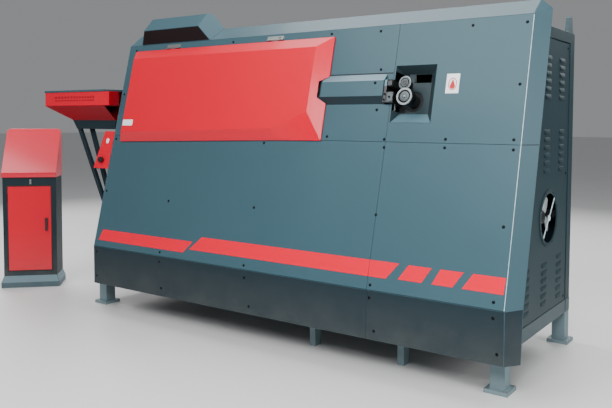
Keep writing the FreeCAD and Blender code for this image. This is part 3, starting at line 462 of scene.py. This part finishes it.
for key in ("right", "left"):
    xNear, xFar = ends[key]
    span = xFar - xNear
    outward = Vector((span, ends["frontward"], 0))
    inner, outer = ends["setIn"], 1 - ends["setIn"]
    low = [Vector((xNear + span * t, ends["lowBack"] * t, skirt["low"])) for t in (inner, outer)]
    high = [Vector((xNear + span * t, ends["back"] * t, skirt["high"])) for t in (inner, outer)]
    bm = bmesh.new()
    addFacing(bm, [low[0], high[0], high[1]], ends["proud"], outward)
    addFacing(bm, [low[0], high[1], low[1]], ends["proud"], outward)
    finishPiece(key + "_skirt_facing", bm, inMachine, "skirtGrey")
    below, above = ends["seamV"] - ends["seamHalf"], ends["seamV"] + ends["seamHalf"]
    seam = [facetPoint(xNear, xFar, v, t)
            for v, t in ((below, inner), (above, inner), (above, outer), (below, outer))]
    facingPiece(key + "_facet_seam", seam, ends["seamProud"], outward, "slotDark", slot="dark_paint")

# painted highlight: a near-white strip along the folded corner where the cover turns into its right end,
# standing in for the light the fold catches
fold = {"span": (2960.6, 2963.2, 3, 1468), "proud": (0.1, 1.6)}
platePiece("cover_corner_highlight", rect(*fold["span"]), fold["proud"], onCover, "edgeGlint", bevel=0.6)

# red stripes along the lower cover, as (x, height above the floor)
stripes = {
    "proud": (0.15, 0.9),
    "outlines": [((-20, 501), (821, 501), (893, 575), (11, 575)),
                 ((869, 525), (2203, 525), (2203, 610), (966, 610)),
                 ((2205, 525), (2312, 525), (2382, 610), (2205, 610)),
                 ((2382, 530), (2519, 530), (2568, 608), (2436, 608)),
                 ((2575, 530), (2689, 530), (2741, 608), (2615, 608)),
                 ((2738, 530), (2951, 530), (2956, 608), (2790, 608))],
}
bm = bmesh.new()
for outline in stripes["outlines"]:
    addPlate(bm, [(x, slopeV(z)) for x, z in outline], *stripes["proud"])
finishPiece("red_stripes", bm, onCover, "stripeRed", slot="red_paint", bevel=0.25)

# folds of the bar cover, as (up the cover, out of it): the lower one dark as painted shade where it faces
# down, the upper one pale as painted light where it faces up, a seam above
tunnel = {"x0": 1745.6, "x1": 2163.4, "lowEdge": (1013.5, 1.2), "lowKnee": (1051.2, 31.36),
          "topKnee": (1140, 31.4), "topEdge": (1184.5, 1.2), "proud": (0.1, 0.7), "seam": (1187, 1193),
          "seamPast": 36, "seamProud": (0.05, 0.5)}


def tunnelFold(name, first, second, outward, look, **rest):
    spots = [coverPoint(x, *edge) for x, edge in ((tunnel["x0"], first), (tunnel["x1"], first),
                                                  (tunnel["x1"], second), (tunnel["x0"], second))]
    facingPiece(name, spots, tunnel["proud"], outward, look, **rest)


tunnelFold("tunnel_lower_shade_facing", tunnel["lowEdge"], tunnel["lowKnee"], Vector((0, -1, -1)), "skirtGrey",
           slot="dark_paint")
tunnelFold("tunnel_upper_light_facing", tunnel["topKnee"], tunnel["topEdge"], Vector((0, -1, 1)), "paleGrey")
platePiece("tunnel_seam", rect(tunnel["x0"], tunnel["x1"] + tunnel["seamPast"], *tunnel["seam"]),
           tunnel["seamProud"], onCover, "slotDark", slot="dark_paint")

# painted light: a pale facing on the sill of the window recess, where light from above falls; front and back
# edge as (x from, x to, up the cover, out of it)
recess = {"front": (2216, 2459, 908.5, -1.5), "back": (2229, 2403, 972, -70.5), "proud": (0.1, 0.8)}
x0, x1, v, w = recess["front"]
a0, a1, b, d = recess["back"]
facingPiece("recess_sill_light", [coverPoint(*spot) for spot in ((x0, v, w), (x1, v, w), (a1, b, d), (a0, b, d))],
            recess["proud"], Vector((0, -1, 1)), "paleGrey")

# button-head screws
screw = {"head": [(0, 1.4), (2.6, 1.4), (2.9, 3.6), (5.2, 3.3), (7.2, 2.0), (8.0, 0.3), (8.0, -1.2),
                  (0, -1.2)],
         "steps": 20, "tunnel": (2109, slopeV(1558) - 7.8)}
screwSpots = {
    "cover": [(1743, 1862), (2082, 1856), (2640, 1848), (2931, 1845), (2925, 1532), (2923, 1258),
              (2926, 1209), (2917, 841), (2906, 491), (2559, 1254), (2560, 1210), (2116, 1635),
              (2123, 1408), (2194, 1247),
              (2200, 1203), (2204, 844), (2224, 482), (1813, 1256), (613, 811), (1352, 821), (1341, 481),
              (613, 481), (-30, 841), (-30, 1209), (613, 1209), (1352, 1209), (960, 1860), (1352, 1862),
              (20, 1850), (-30, 1532)],
    "skirt": [(2908, 416), (2930, 246), (2222, 415), (2252, 241), (612, 419), (1350, 409), (1385, 240),
              (-30, 416), (-30, 246), (630, 246)],
    "side": [(1110, 300), (1110, 1780), (520, 1780), (1110, 1040), (330, 1040), (160, 300)],
    "rear": [(x, z) for x in (-100, 440, 930, 960, 1370, 1790, 1820, 2260, 2800) for z in (300, 1030, 1780)],
}
for name, spots, place, lift in (
        ("cover_screws", [(x, slopeV(z)) for x, z in screwSpots["cover"]], onCover, 0.0),
        ("skirt_screws", screwSpots["skirt"], onSkirt, 0.6),
        ("side_screws", screwSpots["side"], onSide, 0.0),
        ("left_side_screws", screwSpots["side"], onLeftSide, 0.0),
        ("rear_screws", screwSpots["rear"], onRear, 0.0),
        ("tunnel_screw", [screw["tunnel"]], onCover, 32)):
    bm = bmesh.new()
    for a, b in spots:
        addTurned(bm, a, b, [(r, h + lift) for r, h in screw["head"]], screw["steps"])
    finishPiece(name, bm, place, "blackOxide", slot="hard_steel")
print("cover trim done")

# pressed louvres
louvre = {"width": 104, "height": 26, "depth": 8, "across": 14, "down": 8, "slitTop": 12,
          "slitProud": (0.05, 0.5)}
louvreRows = {  # (across, lowest, highest, how many)
    "side": [(745, 1075, 1290, 6), (1012, 1075, 1290, 6), (750, 1485, 1700, 6), (1000, 1485, 1700, 6),
             (447, 334, 555, 6), (738, 334, 549, 6), (1010, 326, 560, 6)],
    "leftSide": [(745, 1075, 1290, 6), (1012, 1075, 1290, 6), (738, 334, 549, 6), (1010, 326, 560, 6)],
    "rear": [(430, 1400, 1620, 7), (1370, 1400, 1620, 7), (2310, 1400, 1620, 7),
             (430, 420, 640, 7), (1370, 420, 640, 7), (2310, 420, 640, 7)],
}


def addLouvre(bm, a, b):
    # hood pressed out of the sheet: rounded ends, closed at the top, open along its lower edge
    half = louvre["width"] / 2
    grid = []
    for i in range(louvre["across"] + 1):
        u = -1 + 2 * i / louvre["across"]
        bulge = max(0.0, 1 - abs(u) ** 3.0) ** 0.5
        row = []
        for k in range(louvre["down"] + 1):
            t = k / louvre["down"]
            out = louvre["depth"] * bulge * math.sin(math.pi / 2 * t) ** 0.8
            row.append(bm.verts.new((a + u * half, b + louvre["height"] * (0.5 - t * (0.35 + 0.65 * bulge)),
                                     out + 0.1)))
        grid.append(row)
    for i in range(louvre["across"]):
        for k in range(louvre["down"]):
            bm.faces.new((grid[i][k], grid[i + 1][k], grid[i + 1][k + 1], grid[i][k + 1]))
    # painted shade: a dark plate under the lip stands in for the shade inside the slit
    low = b - louvre["height"] / 2
    addPlate(bm, rounded(a - half * 0.9, a + half * 0.9, low - 1, low + louvre["slitTop"], 4),
             *louvre["slitProud"], 1)


for name, key, place, look in (("right_louvres", "side", onSide, "sideGrey slotDark"),
                               ("left_louvres", "leftSide", onLeftSide, "skirtGrey slotDark"),
                               ("rear_louvres", "rear", onRear, "skirtGrey slotDark")):
    bm = bmesh.new()
    for a, low, high, count in louvreRows[key]:
        for i in range(count):
            addLouvre(bm, a, low + (high - low) * i / (count - 1))
    finishPiece(name, bm, place, look, slot="dark_paint", sharp=60)
# painted shade: dark plates stand in for the shade inside the drain slots
drain = {"spots": ((783, 252), (871, 246)), "half": 7, "tall": 19, "round": 6.5, "proud": (0.1, 0.7)}
bm = bmesh.new()
for y, z in drain["spots"]:
    addPlate(bm, rounded(y - drain["half"], y + drain["half"], z - drain["tall"], z + drain["tall"],
                         drain["round"]), *drain["proud"])
finishPiece("drain_slot_shade", bm, onSide, "slotDark", slot="hard_steel")
print("louvres done")

# fan: four broad twisted blades on a domed hub
fan = {"y": 798, "z": 806, "root": 36, "tip": 131, "blades": 4, "first": 142, "sweep": 40, "lift": -17,
       "back": -44, "thick": 1.6, "camber": 5.0, "lean": 0.25, "cells": 8,
       "boss": [(0, -23), (16, -24), (30, -27), (38, -33), (40, -40), (40, -60), (5.2, -60), (5.2, -40),
                (0, -40)]}


def addFanBlade(bm, start):
    cells = fan["cells"]
    skins = []
    for side in (0, 1):
        grid = []
        for i in range(cells + 1):
            along = i / cells
            radius = fan["root"] + (fan["tip"] - fan["root"]) * along
            sweep = math.radians(fan["sweep"]) * (0.72 + 0.28 * along)
            row = []
            for k in range(cells + 1):
                t = k / cells - 0.5
                angle = start + sweep * t + fan["lean"] * along ** 2
                camber = fan["camber"] * (1 - 4 * t * t)
                out = fan["back"] + fan["lift"] * 2 * t * (1 - 0.35 * along) + camber - side * fan["thick"]
                row.append(bm.verts.new((fan["y"] + radius * math.cos(angle),
                                         fan["z"] + radius * math.sin(angle), out)))
            grid.append(row)
        skins.append(grid)
        for i in range(cells):
            for k in range(cells):
                bm.faces.new((grid[i][k], grid[i + 1][k], grid[i + 1][k + 1], grid[i][k + 1]))
    top, bottom = skins
    rim = [(i, 0) for i in range(cells + 1)] + [(cells, k) for k in range(1, cells + 1)]
    rim += [(i, cells) for i in range(cells - 1, -1, -1)] + [(0, k) for k in range(cells - 1, 0, -1)]
    for (i, k), (j, m) in zip(rim, rim[1:] + rim[:1]):
        bm.faces.new((top[i][k], top[j][m], bottom[j][m], bottom[i][k]))


bm = bmesh.new()
for n in range(fan["blades"]):
    addFanBlade(bm, math.radians(fan["first"]) + 2 * math.pi * n / fan["blades"])
addTurned(bm, fan["y"], fan["z"], fan["boss"], 48, 1)
blades = finishPiece("fan_blades", bm, onSide, "bladeSilver motorBlack", body="fan_rotor", slot="fan_metal",
                     sharp=40)
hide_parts("fan_rotor")

# the ring round the fan's opening, the bright strut across it, and the ring's screws
guard = {"inner": 139, "outer": 161, "thick": 6, "strut": 5.0, "strutProud": (2.6, 5.4), "angle": -41,
         "hub": 17, "hubTop": 8.6, "hubLow": 1.4, "screws": 8, "firstScrew": 22.5, "screwRing": 151}
bm = bmesh.new()
section = [(guard["inner"], 0.1), (guard["inner"], guard["thick"] - 1.2),
           (guard["inner"] + 1.6, guard["thick"]), (guard["outer"] - 2, guard["thick"]),
           (guard["outer"], guard["thick"] - 2.4), (guard["outer"], 0.1), (guard["inner"], 0.1)]
addTurned(bm, fan["y"], fan["z"], section, 96)
ring = finishPiece("fan_ring", bm, onSide, "sideGrey", slot="dark_paint", sharp=50)
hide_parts("fan_guard")
bm = bmesh.new()
tilt = math.radians(guard["angle"])
reach = guard["inner"] + 4
outline = [(fan["y"] + u * math.cos(tilt) - t * math.sin(tilt),
            fan["z"] + u * math.sin(tilt) + t * math.cos(tilt))
           for u, t in rect(-guard["strut"], guard["strut"], -reach, reach)]
addPlate(bm, outline, *guard["strutProud"])
addTurned(bm, fan["y"], fan["z"], [(0, guard["hubTop"]), (guard["hub"] - 4, guard["hubTop"]),
                                   (guard["hub"], guard["thick"]), (guard["hub"], guard["hubLow"]),
                                   (0, guard["hubLow"])], 40)
finishPiece("fan_strut", bm, onSide, "edgeGlint", slot="fan_metal", bevel=0.8)
bm = bmesh.new()
for i in range(guard["screws"]):
    angle = math.radians(guard["firstScrew"] + 360 / guard["screws"] * i)
    y = fan["y"] + guard["screwRing"] * math.cos(angle)
    z = fan["z"] + guard["screwRing"] * math.sin(angle)
    addTurned(bm, y, z, [(r * 0.5, h * 0.7 + guard["thick"]) for r, h in screw["head"]], 16)
finishPiece("fan_screws", bm, onSide, "blackOxide", slot="hard_steel")
print("fan done")

# bending head: mandrel and bending roller as turned discs. A band is (finish, profile), and the
# finishes are 0 bright steel, 1 black and 2 darker steel
head = {"x": 2309, "v": 1043, "rollerX": 2297, "rollerV": 1122}
mandrelBands = [
    (0, [(0, 47), (4.5, 47), (5.6, 46), (5.6, 43.4)]),
    (2, [(5.6, 43.4), (8, 42.6), (13, 42.6), (14.4, 44), (20, 44.2), (28, 43.2), (29, 41)]),
    (1, [(29, 41), (35.2, 40.6)]),
    (0, [(35.2, 40.6), (36, 44.8), (37.2, 46), (46.2, 46), (48, 44.2), (48, 37.8), (46.4, 36), (40, 36)]),
    (1, [(40, 36), (40, 26.4), (41.2, 25), (46.4, 25), (48, 23.4), (48, -5.4), (46.4, -7), (19, -7)]),
]
rollerBands = [
    (2, [(11, 33.4), (12, 35), (21, 35), (22, 34.2)]),
    (1, [(22, 34.2), (22.4, 31.4), (25.6, 31.4), (26, 34)]),
    (2, [(26, 34), (27, 34.6), (34.6, 34.4)]),
    (0, [(34.6, 34.4), (36.4, 34.2), (38, 32.6), (38, 28), (36.6, 26.5), (19.6, 26.4)]),
    (1, [(19.6, 26.4), (19, 25.4), (19, -6.8), (18, -8), (10.2, -8), (10.2, 33), (11, 33.4)]),
]
for name, node, body, x, v, bands, steps in (
        ("mandrel_disc", "mandrel", "head_carriage", head["x"], head["v"], mandrelBands, 72),
        ("bending_roller_disc", "bend_roller", "bend_roller", head["rollerX"], head["rollerV"], rollerBands,
         64)):
    bm = bmesh.new()
    for look, profile in bands:
        addTurned(bm, x, v, profile, steps, look)
    disc = finishPiece(name, bm, onCover, "turnedSteel blackOxide faceSteel", body=body,
                       slot="machined_steel", sharp=28)
    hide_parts(node)
bm = bmesh.new()
pinCap = [(0, 37), (4, 37), (5, 39), (14, 39), (15.6, 37.6), (15.6, 36.2), (0, 36.2)]
addTurned(bm, head["rollerX"], head["rollerV"], pinCap, 40)
finishPiece("roller_pin_cap", bm, onCover, "darkSteel", body="bend_arm", slot="hard_steel")

# cutter: caps on the fixed and moving upper jaws, a rounded cap on the lower one, and a bar rest.
# Each is (x from, x to, up the cover from, to, corner radius, out of the cover from, to)
cutter = {"fixed": (2170, 2185.5, 1107, 1143, 2, 30.1, 32), "moving": (2188, 2218, 1106, 1143.5, 3, 26.1, 31),
          "lower": (2194, 2229, 1019, 1073, 14, 26.1, 30), "strip": (2211, 2219, 979, 1035, 3, -34, -30),
          "bolts": ((2178, 1030, 30.2), (2178, 1062, 30.2), (2208, 1046, 30.1)),
          "bolt": [(0, 2), (2.2, 2), (2.6, 4.4), (5.0, 4.4), (5.6, 3.6), (5.6, 0), (0, 0)]}
for name, key, look, body in (("fixed_jaw_cap", "fixed", "paleGrey", "machine"),
                              ("moving_jaw_cap", "moving", "blackOxide", "cutter_blade"),
                              ("lower_jaw_cap", "lower", "faceSteel", "machine"),
                              ("bar_strip", "strip", "turnedSteel", "machine")):
    platePiece(name, rounded(*cutter[key][:5]), cutter[key][5:], onCover, look, body=body, slot="hard_steel",
               bevel=0.8)
bm = bmesh.new()
for x, v, w in cutter["bolts"]:
    addTurned(bm, x, v, [(r, w + h) for r, h in cutter["bolt"]], 20)
finishPiece("cutter_bolts", bm, onCover, "blackOxide", slot="hard_steel")
print("bending head done")

# plates, labels and small marks
label = {"safety": (2526, 2600, slopeV(1493), slopeV(1596), 2), "door": (84, 186, 862, 904, 3),
         "bracket": (-135, -105, 741, 777, 11)}
platePiece("safety_label", rounded(*label["safety"]), (0.1, 0.9), onCover, "labelWhite", bevel=0.2)
mark = {"up": 50, "half": 24, "tall": 34, "line": 4.0, "drop": 15, "dropUp": 38, "tip": 78,
        "proud": (0.9, 1.3), "ringSteps": 28, "dropSteps": 20}
mid = (label["safety"][0] + label["safety"][1]) / 2
base = label["safety"][2]
bm = bmesh.new()
for i in range(mark["ringSteps"]):
    a0 = 2 * math.pi * i / mark["ringSteps"]
    a1 = 2 * math.pi * (i + 1) / mark["ringSteps"]
    addPlate(bm, [(mid + (mark["half"] - inset) * math.cos(angle),
                   base + mark["up"] + (mark["tall"] - inset) * math.sin(angle))
                  for angle, inset in ((a0, 0), (a1, 0), (a1, mark["line"]), (a0, mark["line"]))],
             *mark["proud"])
drop = []
for i in range(mark["dropSteps"] + 1):  # a plain drop shape, pointed at the top
    angle = math.radians(150 + 240 * i / mark["dropSteps"])
    drop.append((mid + mark["drop"] * math.cos(angle),
                 base + mark["dropUp"] + mark["drop"] * math.sin(angle)))
drop.append((mid, base + mark["tip"]))
addPlate(bm, drop, *mark["proud"])
finishPiece("safety_mark", bm, onCover, "labelRed", slot="button_red")
platePiece("door_label", rounded(*label["door"]), (60.1, 60.8), onCover, "labelWhite", body="feed_door",
           bevel=0.15)
platePiece("bracket_label", rounded(*label["bracket"]), (0.1, 1.0), onCover, "labelWhite", bevel=0.2)

# painted shade: a near-black facing on the hood's upright front stands in for the dark that it reflects
hood = {"y": 349, "outline": ((73, 1891), (90, 1988), (630, 1988), (734, 1891)), "proud": (0.1, 1.0)}
platePiece("hood_shade_facing", hood["outline"], hood["proud"], onFront(hood["y"]), "hoodShadeDark", slot="dark_paint",
           bevel=0.3)

# bright front of the inlet trough, and painted shade for the slots along it: dark plates stand in for the
# shade inside them
trough = {"y": 150, "span": (-825.5, -63.5, 1452, 1551), "proud": (0.1, 0.7), "slotLeft": -700,
          "slotRight": -236, "slots": 26, "slotRows": ((1504, 1522), (1484, 1496)), "slotHalf": 3.2,
          "slotRound": 3.1, "slotProud": (0.75, 1.2)}
platePiece("trough_front", rect(*trough["span"]), trough["proud"], onFront(trough["y"]), "pillarRed",
           slot="red_paint", bevel=0.2)
bm = bmesh.new()
for i in range(trough["slots"]):
    x = trough["slotLeft"] + (trough["slotRight"] - trough["slotLeft"]) * i / (trough["slots"] - 1)
    for low, high in trough["slotRows"]:
        addPlate(bm, rounded(x - trough["slotHalf"], x + trough["slotHalf"], low, high,
                             trough["slotRound"], 3), *trough["slotProud"])
finishPiece("trough_slot_shade", bm, onFront(trough["y"]), "slotDark", slot="hard_steel")
print("labels done")

# console lid: folded sheet with rounded upper corners
lid = {"x0": 13, "x1": 427, "front": 4, "back": 266, "low": 885, "knee": 923, "top": 1270, "slope": 222,
       "corner": 30, "edge": 5, "sheet": 3}
bm = bmesh.new()
profile = [(lid["front"], lid["low"]), (lid["front"], lid["knee"]), (lid["front"] + lid["slope"], lid["top"]),
           (lid["back"], lid["top"]), (lid["back"], lid["low"])]
left = [bm.verts.new((lid["x0"], y, z)) for y, z in profile]
right = [bm.verts.new((lid["x1"], y, z)) for y, z in profile]
for i in range(4):
    bm.faces.new((left[i], right[i], right[i + 1], left[i + 1]))
bm.faces.new(left)
bm.faces.new(right[::-1])
bm.edges.ensure_lookup_table()
topEdges = [e for e in bm.edges if all(v.co.z > lid["top"] - 1 for v in e.verts)
            and abs(e.verts[0].co.x - e.verts[1].co.x) < 1]
bmesh.ops.bevel(bm, geom=topEdges, offset=lid["corner"], segments=8, profile=0.5, affect="EDGES")
shell = finishPiece("console_lid_shell", bm, inConsole, "lidRed", body="console_lid", slot="red_paint",
                    sharp=30)
thick = shell.modifiers.new("sheet", "SOLIDIFY")
thick.thickness = lid["sheet"] / 1000
thick.offset = -1
edge = shell.modifiers.new("edge", "BEVEL")
edge.width = lid["edge"] / 1000
edge.segments = 4
edge.limit_method = "ANGLE"
edge.angle_limit = math.radians(40)
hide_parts("console_lid")

# console handle: rounded grip on a boss
grip = {"x": 347, "z": 505, "half": 54, "wide": 10, "round": 8, "proud": (9, 20),
        "boss": [(0, 9.5), (9, 9.5), (9, 6.4), (5.8, 6.4), (5.8, -9.5), (0, -9.5)]}
bm = bmesh.new()
addPlate(bm, rounded(grip["x"] - grip["wide"], grip["x"] + grip["wide"], grip["z"] - grip["half"],
                     grip["z"] + grip["half"], grip["round"]), *grip["proud"])
addTurned(bm, grip["x"], grip["z"], grip["boss"], 32)
handle = finishPiece("console_handle_grip", bm, onConsoleFront, "mattBlack", body="console_handle",
                     slot="black_plastic", bevel=2.0)
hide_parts("console_handle")

# painted light: a pale facing on the plinth's sloping shoulder, where light from above falls
plinth = {"w": 440, "d": 276, "low": 41, "high": 93, "in": 18, "cover": 0.985, "proud": (0.1, 0.7)}
outer = rect(0, plinth["w"], 0, plinth["d"])
inner = rect(plinth["in"], plinth["w"] - plinth["in"], plinth["in"], plinth["d"] - plinth["in"])
bm = bmesh.new()
for i in range(4):
    k = (i + 1) % 4
    ring = [Vector(outer[i] + (plinth["low"],)), Vector(outer[k] + (plinth["low"],)),
            Vector(inner[k] + (plinth["high"],)), Vector(inner[i] + (plinth["high"],))]
    middle = sum(ring, Vector()) / 4
    ring = [middle + (spot - middle) * plinth["cover"] for spot in ring]
    addFacing(bm, ring, plinth["proud"], middle - Vector((plinth["w"] / 2, plinth["d"] / 2, 0)))
finishPiece("plinth_shoulder_light", bm, inConsole, "paleGrey")

# latch above the door, and the dark seal round it
latch = {"plate": (222.6, 237.4, 829.6, 868.4, 3), "proud": (6.1, 7.0), "x": 230, "z": 849,
         "knob": [(0, 11), (4.6, 11), (5.6, 10), (5.6, 6.1), (0, 6.1)]}
bm = bmesh.new()
addPlate(bm, rounded(*latch["plate"]), *latch["proud"])
addTurned(bm, latch["x"], latch["z"], latch["knob"], 32)
finishPiece("console_latch", bm, onConsoleFront, "chromePlate", slot="bright_fittings", bevel=0.3)
seal = {"door": (57.5, 382.5, 137.5, 811.5), "wide": 9, "proud": (0.1, 2.2)}
x0, x1, z0, z1 = seal["door"]
wide = seal["wide"]
bm = bmesh.new()
for side in ((x0 - wide, x0, z0 - wide, z1 + wide), (x1, x1 + wide, z0 - wide, z1 + wide),
             (x0, x1, z0 - wide, z0), (x0, x1, z1, z1 + wide)):
    addPlate(bm, rect(*side), *seal["proud"])
finishPiece("console_door_seal", bm, onConsoleFront, "mattBlack", slot="black_plastic")

# operator plate under the lid: screen, keys and lamps, as (across, up the slope)
panel = {"y0": 30, "y1": 234, "z0": 854, "slope": 200, "bezel": (170, 376, 96, 236, 8),
         "glass": (182, 364, 108, 224, 3), "keys": 6, "firstKey": 176, "keyPitch": 33, "keyWide": 26,
         "keySpan": (30, 54), "lampX": 90, "lampUps": (120, 170, 220), "screwXs": (50, 390),
         "screwUps": (14, 262), "lamp": [(0, 7), (6, 6.4), (9, 4), (9.6, 2), (13, 2), (13, 0.1), (0, 0.1)]}
panelLength = math.hypot(panel["y1"] - panel["y0"], panel["slope"])
panelSin = panel["slope"] / panelLength
panelCos = (panel["y1"] - panel["y0"]) / panelLength


def onPanel(x, s, out):
    return inConsole(x, panel["y0"] + s * panelCos - out * panelSin,
                     panel["z0"] + s * panelSin + out * panelCos)


platePiece("screen_bezel", rounded(*panel["bezel"]), (0.1, 6), onPanel, "mattBlack", slot="black_plastic",
           bevel=1.5)
platePiece("screen", rounded(*panel["glass"]), (6.0, 6.6), onPanel, "screenGlass", slot="black_plastic",
           bevel=0.2)
bm = bmesh.new()
for i in range(panel["keys"]):
    start = panel["firstKey"] + panel["keyPitch"] * i
    addPlate(bm, rounded(start, start + panel["keyWide"], *panel["keySpan"], 5), 0.1, 5)
finishPiece("panel_keys", bm, onPanel, "drivesGrey", slot="drive_casing", bevel=1.2)
bm = bmesh.new()
for s in panel["lampUps"]:
    addTurned(bm, panel["lampX"], s, panel["lamp"], 32)
finishPiece("panel_lamps", bm, onPanel, "chromePlate", slot="bright_fittings")
bm = bmesh.new()
for x in panel["screwXs"]:
    for s in panel["screwUps"]:
        addTurned(bm, x, s, [(r * 0.6, h * 0.6) for r, h in screw["head"]], 16)
finishPiece("panel_screws", bm, onPanel, "blackOxide", slot="hard_steel")

# air slots in the console's back, as painted shade: dark plates stand in for the shade inside them
vent = {"x0": 120, "x1": 320, "low": 330, "pitch": 26, "tall": 8, "count": 6, "y": 258, "proud": (0.1, 0.6)}
bm = bmesh.new()
for i in range(vent["count"]):
    low = vent["low"] + i * vent["pitch"]
    addPlate(bm, rounded(vent["x0"], vent["x1"], low, low + vent["tall"], 3.9), *vent["proud"])
finishPiece("console_rear_slot_shade", bm, lambda x, z, out: inConsole(x, vent["y"] + out, z), "slotDark",
            slot="hard_steel")
print("console done")

# anchor washers on the foot plates
feet = {"xs": (-155, 2877), "ys": (187, 1186), "half": 51, "top": 20,
        "washer": [(7.2, 0.1), (7.2, 1.6), (10.8, 1.6), (11.2, 1.2), (11.2, 0.1), (7.2, 0.1)]}
bm = bmesh.new()
for x in feet["xs"]:
    for y in feet["ys"]:
        for a, b in ((-1, -1), (-1, 1), (1, -1), (1, 1)):
            addTurned(bm, x + a * feet["half"], y + b * feet["half"],
                      [(r, feet["top"] + h) for r, h in feet["washer"]], 24)
finishPiece("foot_washers", bm, inMachine, "zincPlate", slot="machined_steel")

# welded caps over the open ends of the long base rails
rail = {"xs": (-194, 2916), "ys": (148, 1147), "size": 78, "z": 192, "thick": 2.4, "setIn": 0.6, "off": 0.1}
bm = bmesh.new()
for x in rail["xs"]:
    start, end = (x + rail["off"], x + rail["thick"]) if x > 0 else (x - rail["thick"], x - rail["off"])
    for y in rail["ys"]:
        far = rail["size"] - rail["setIn"]
        outline = rounded(rail["setIn"], far, rail["setIn"], far, 5, 3)
        closeSides(bm, [(start, y + a, rail["z"] + b) for a, b in outline],
                   [(end, y + a, rail["z"] + b) for a, b in outline])
finishPiece("rail_caps", bm, inMachine, "frameGrey", slot="frame_paint")

# floor, light and camera
floor = {"size": 60.0, "below": 0.0005, "colour": (0.70, 0.70, 0.70, 1), "vary": 0.03, "rough": 0.55}
bm = bmesh.new()
bmesh.ops.create_grid(bm, x_segments=8, y_segments=8, size=floor["size"])
mesh = bpy.data.meshes.new("floor")
bm.to_mesh(mesh)
bm.free()
ground = bpy.data.objects.new("floor", mesh)
ground.location.z = -floor["below"]
scene.collection.objects.link(ground)
look, sig, shader = newLook("floorPale")
cloud = sig.noise(0.6, 3.0)
floorColour = cloud.tint(shade(floor["colour"], 1 - floor["vary"]), shade(floor["colour"], 1 + floor["vary"]))
join(look.node_tree, floorColour, shader.inputs["Base Color"])
shader.inputs["Roughness"].default_value = floor["rough"]
mesh.materials.append(look)
ground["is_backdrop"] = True

studio = {"colour": (0.86, 0.88, 0.90, 1), "strength": 0.30}
world = bpy.data.worlds.new("studio")
world.use_nodes = True
sky = world.node_tree.nodes["Background"]
sky.inputs["Color"].default_value = studio["colour"]
sky.inputs["Strength"].default_value = studio["strength"]
scene.world = world

lamps = {  # metres and watts
    "key": {"spot": (2.9, -3.4, 2.6), "aim": (2.0, 0.0, 1.0), "size": (1.8, 1.3), "power": 165},
    "ceiling": {"spot": (-0.6, -4.2, 5.0), "aim": (-1.4, -0.3, 0.8), "size": (3.8, 2.8), "power": 190},
    "overhead": {"spot": (0.3, 0.6, 5.2), "aim": (0.3, 0.3, 0.0), "size": (5.0, 2.4), "power": 200},
    "leftSide": {"spot": (-6.4, 1.8, 3.2), "aim": (-1.0, 0.3, 0.9), "size": (2.6, 2.0), "power": 170},
    "rightSide": {"spot": (6.8, -0.6, 2.4), "aim": (2.1, 0.1, 0.9), "size": (2.4, 1.8), "power": 130},
    "rear": {"spot": (1.0, 6.0, 3.6), "aim": (0.3, 0.0, 0.9), "size": (4.5, 2.2), "power": 190},
}
for name, lamp in lamps.items():
    data = bpy.data.lights.new(name, "AREA")
    data.shape = "RECTANGLE"
    data.size, data.size_y = lamp["size"]
    data.energy = lamp["power"]
    light = bpy.data.objects.new(name, data)
    light.location = lamp["spot"]
    light.rotation_euler = (Vector(lamp["aim"]) - Vector(lamp["spot"])).to_track_quat("-Z", "Y").to_euler()
    scene.collection.objects.link(light)

view = {"spot": (4145.3, -3169.2, 1348.0), "turn": 0.600400, "tip": -0.053796, "roll": 0.004295,
        "lens": 41.759, "sensor": 36.0, "shift": (-0.0409, -0.0739)}
ahead = Vector((-math.sin(view["turn"]) * math.cos(view["tip"]),
                math.cos(view["turn"]) * math.cos(view["tip"]), math.sin(view["tip"])))
level = Vector((math.cos(view["turn"]), math.sin(view["turn"]), 0))
upright = level.cross(ahead)
across = level * math.cos(view["roll"]) + upright * math.sin(view["roll"])
up = upright * math.cos(view["roll"]) - level * math.sin(view["roll"])
facing = Matrix((across, up, -ahead)).transposed().to_4x4()
data = bpy.data.cameras.new("camera")
data.lens = view["lens"]
data.sensor_width = view["sensor"]
data.shift_x, data.shift_y = view["shift"]
eye = bpy.data.objects.new("camera", data)
eye.matrix_world = Matrix.Translation(inMachine(*view["spot"])) @ facing
scene.collection.objects.link(eye)
scene.camera = eye
print("stage ready")

low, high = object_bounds()
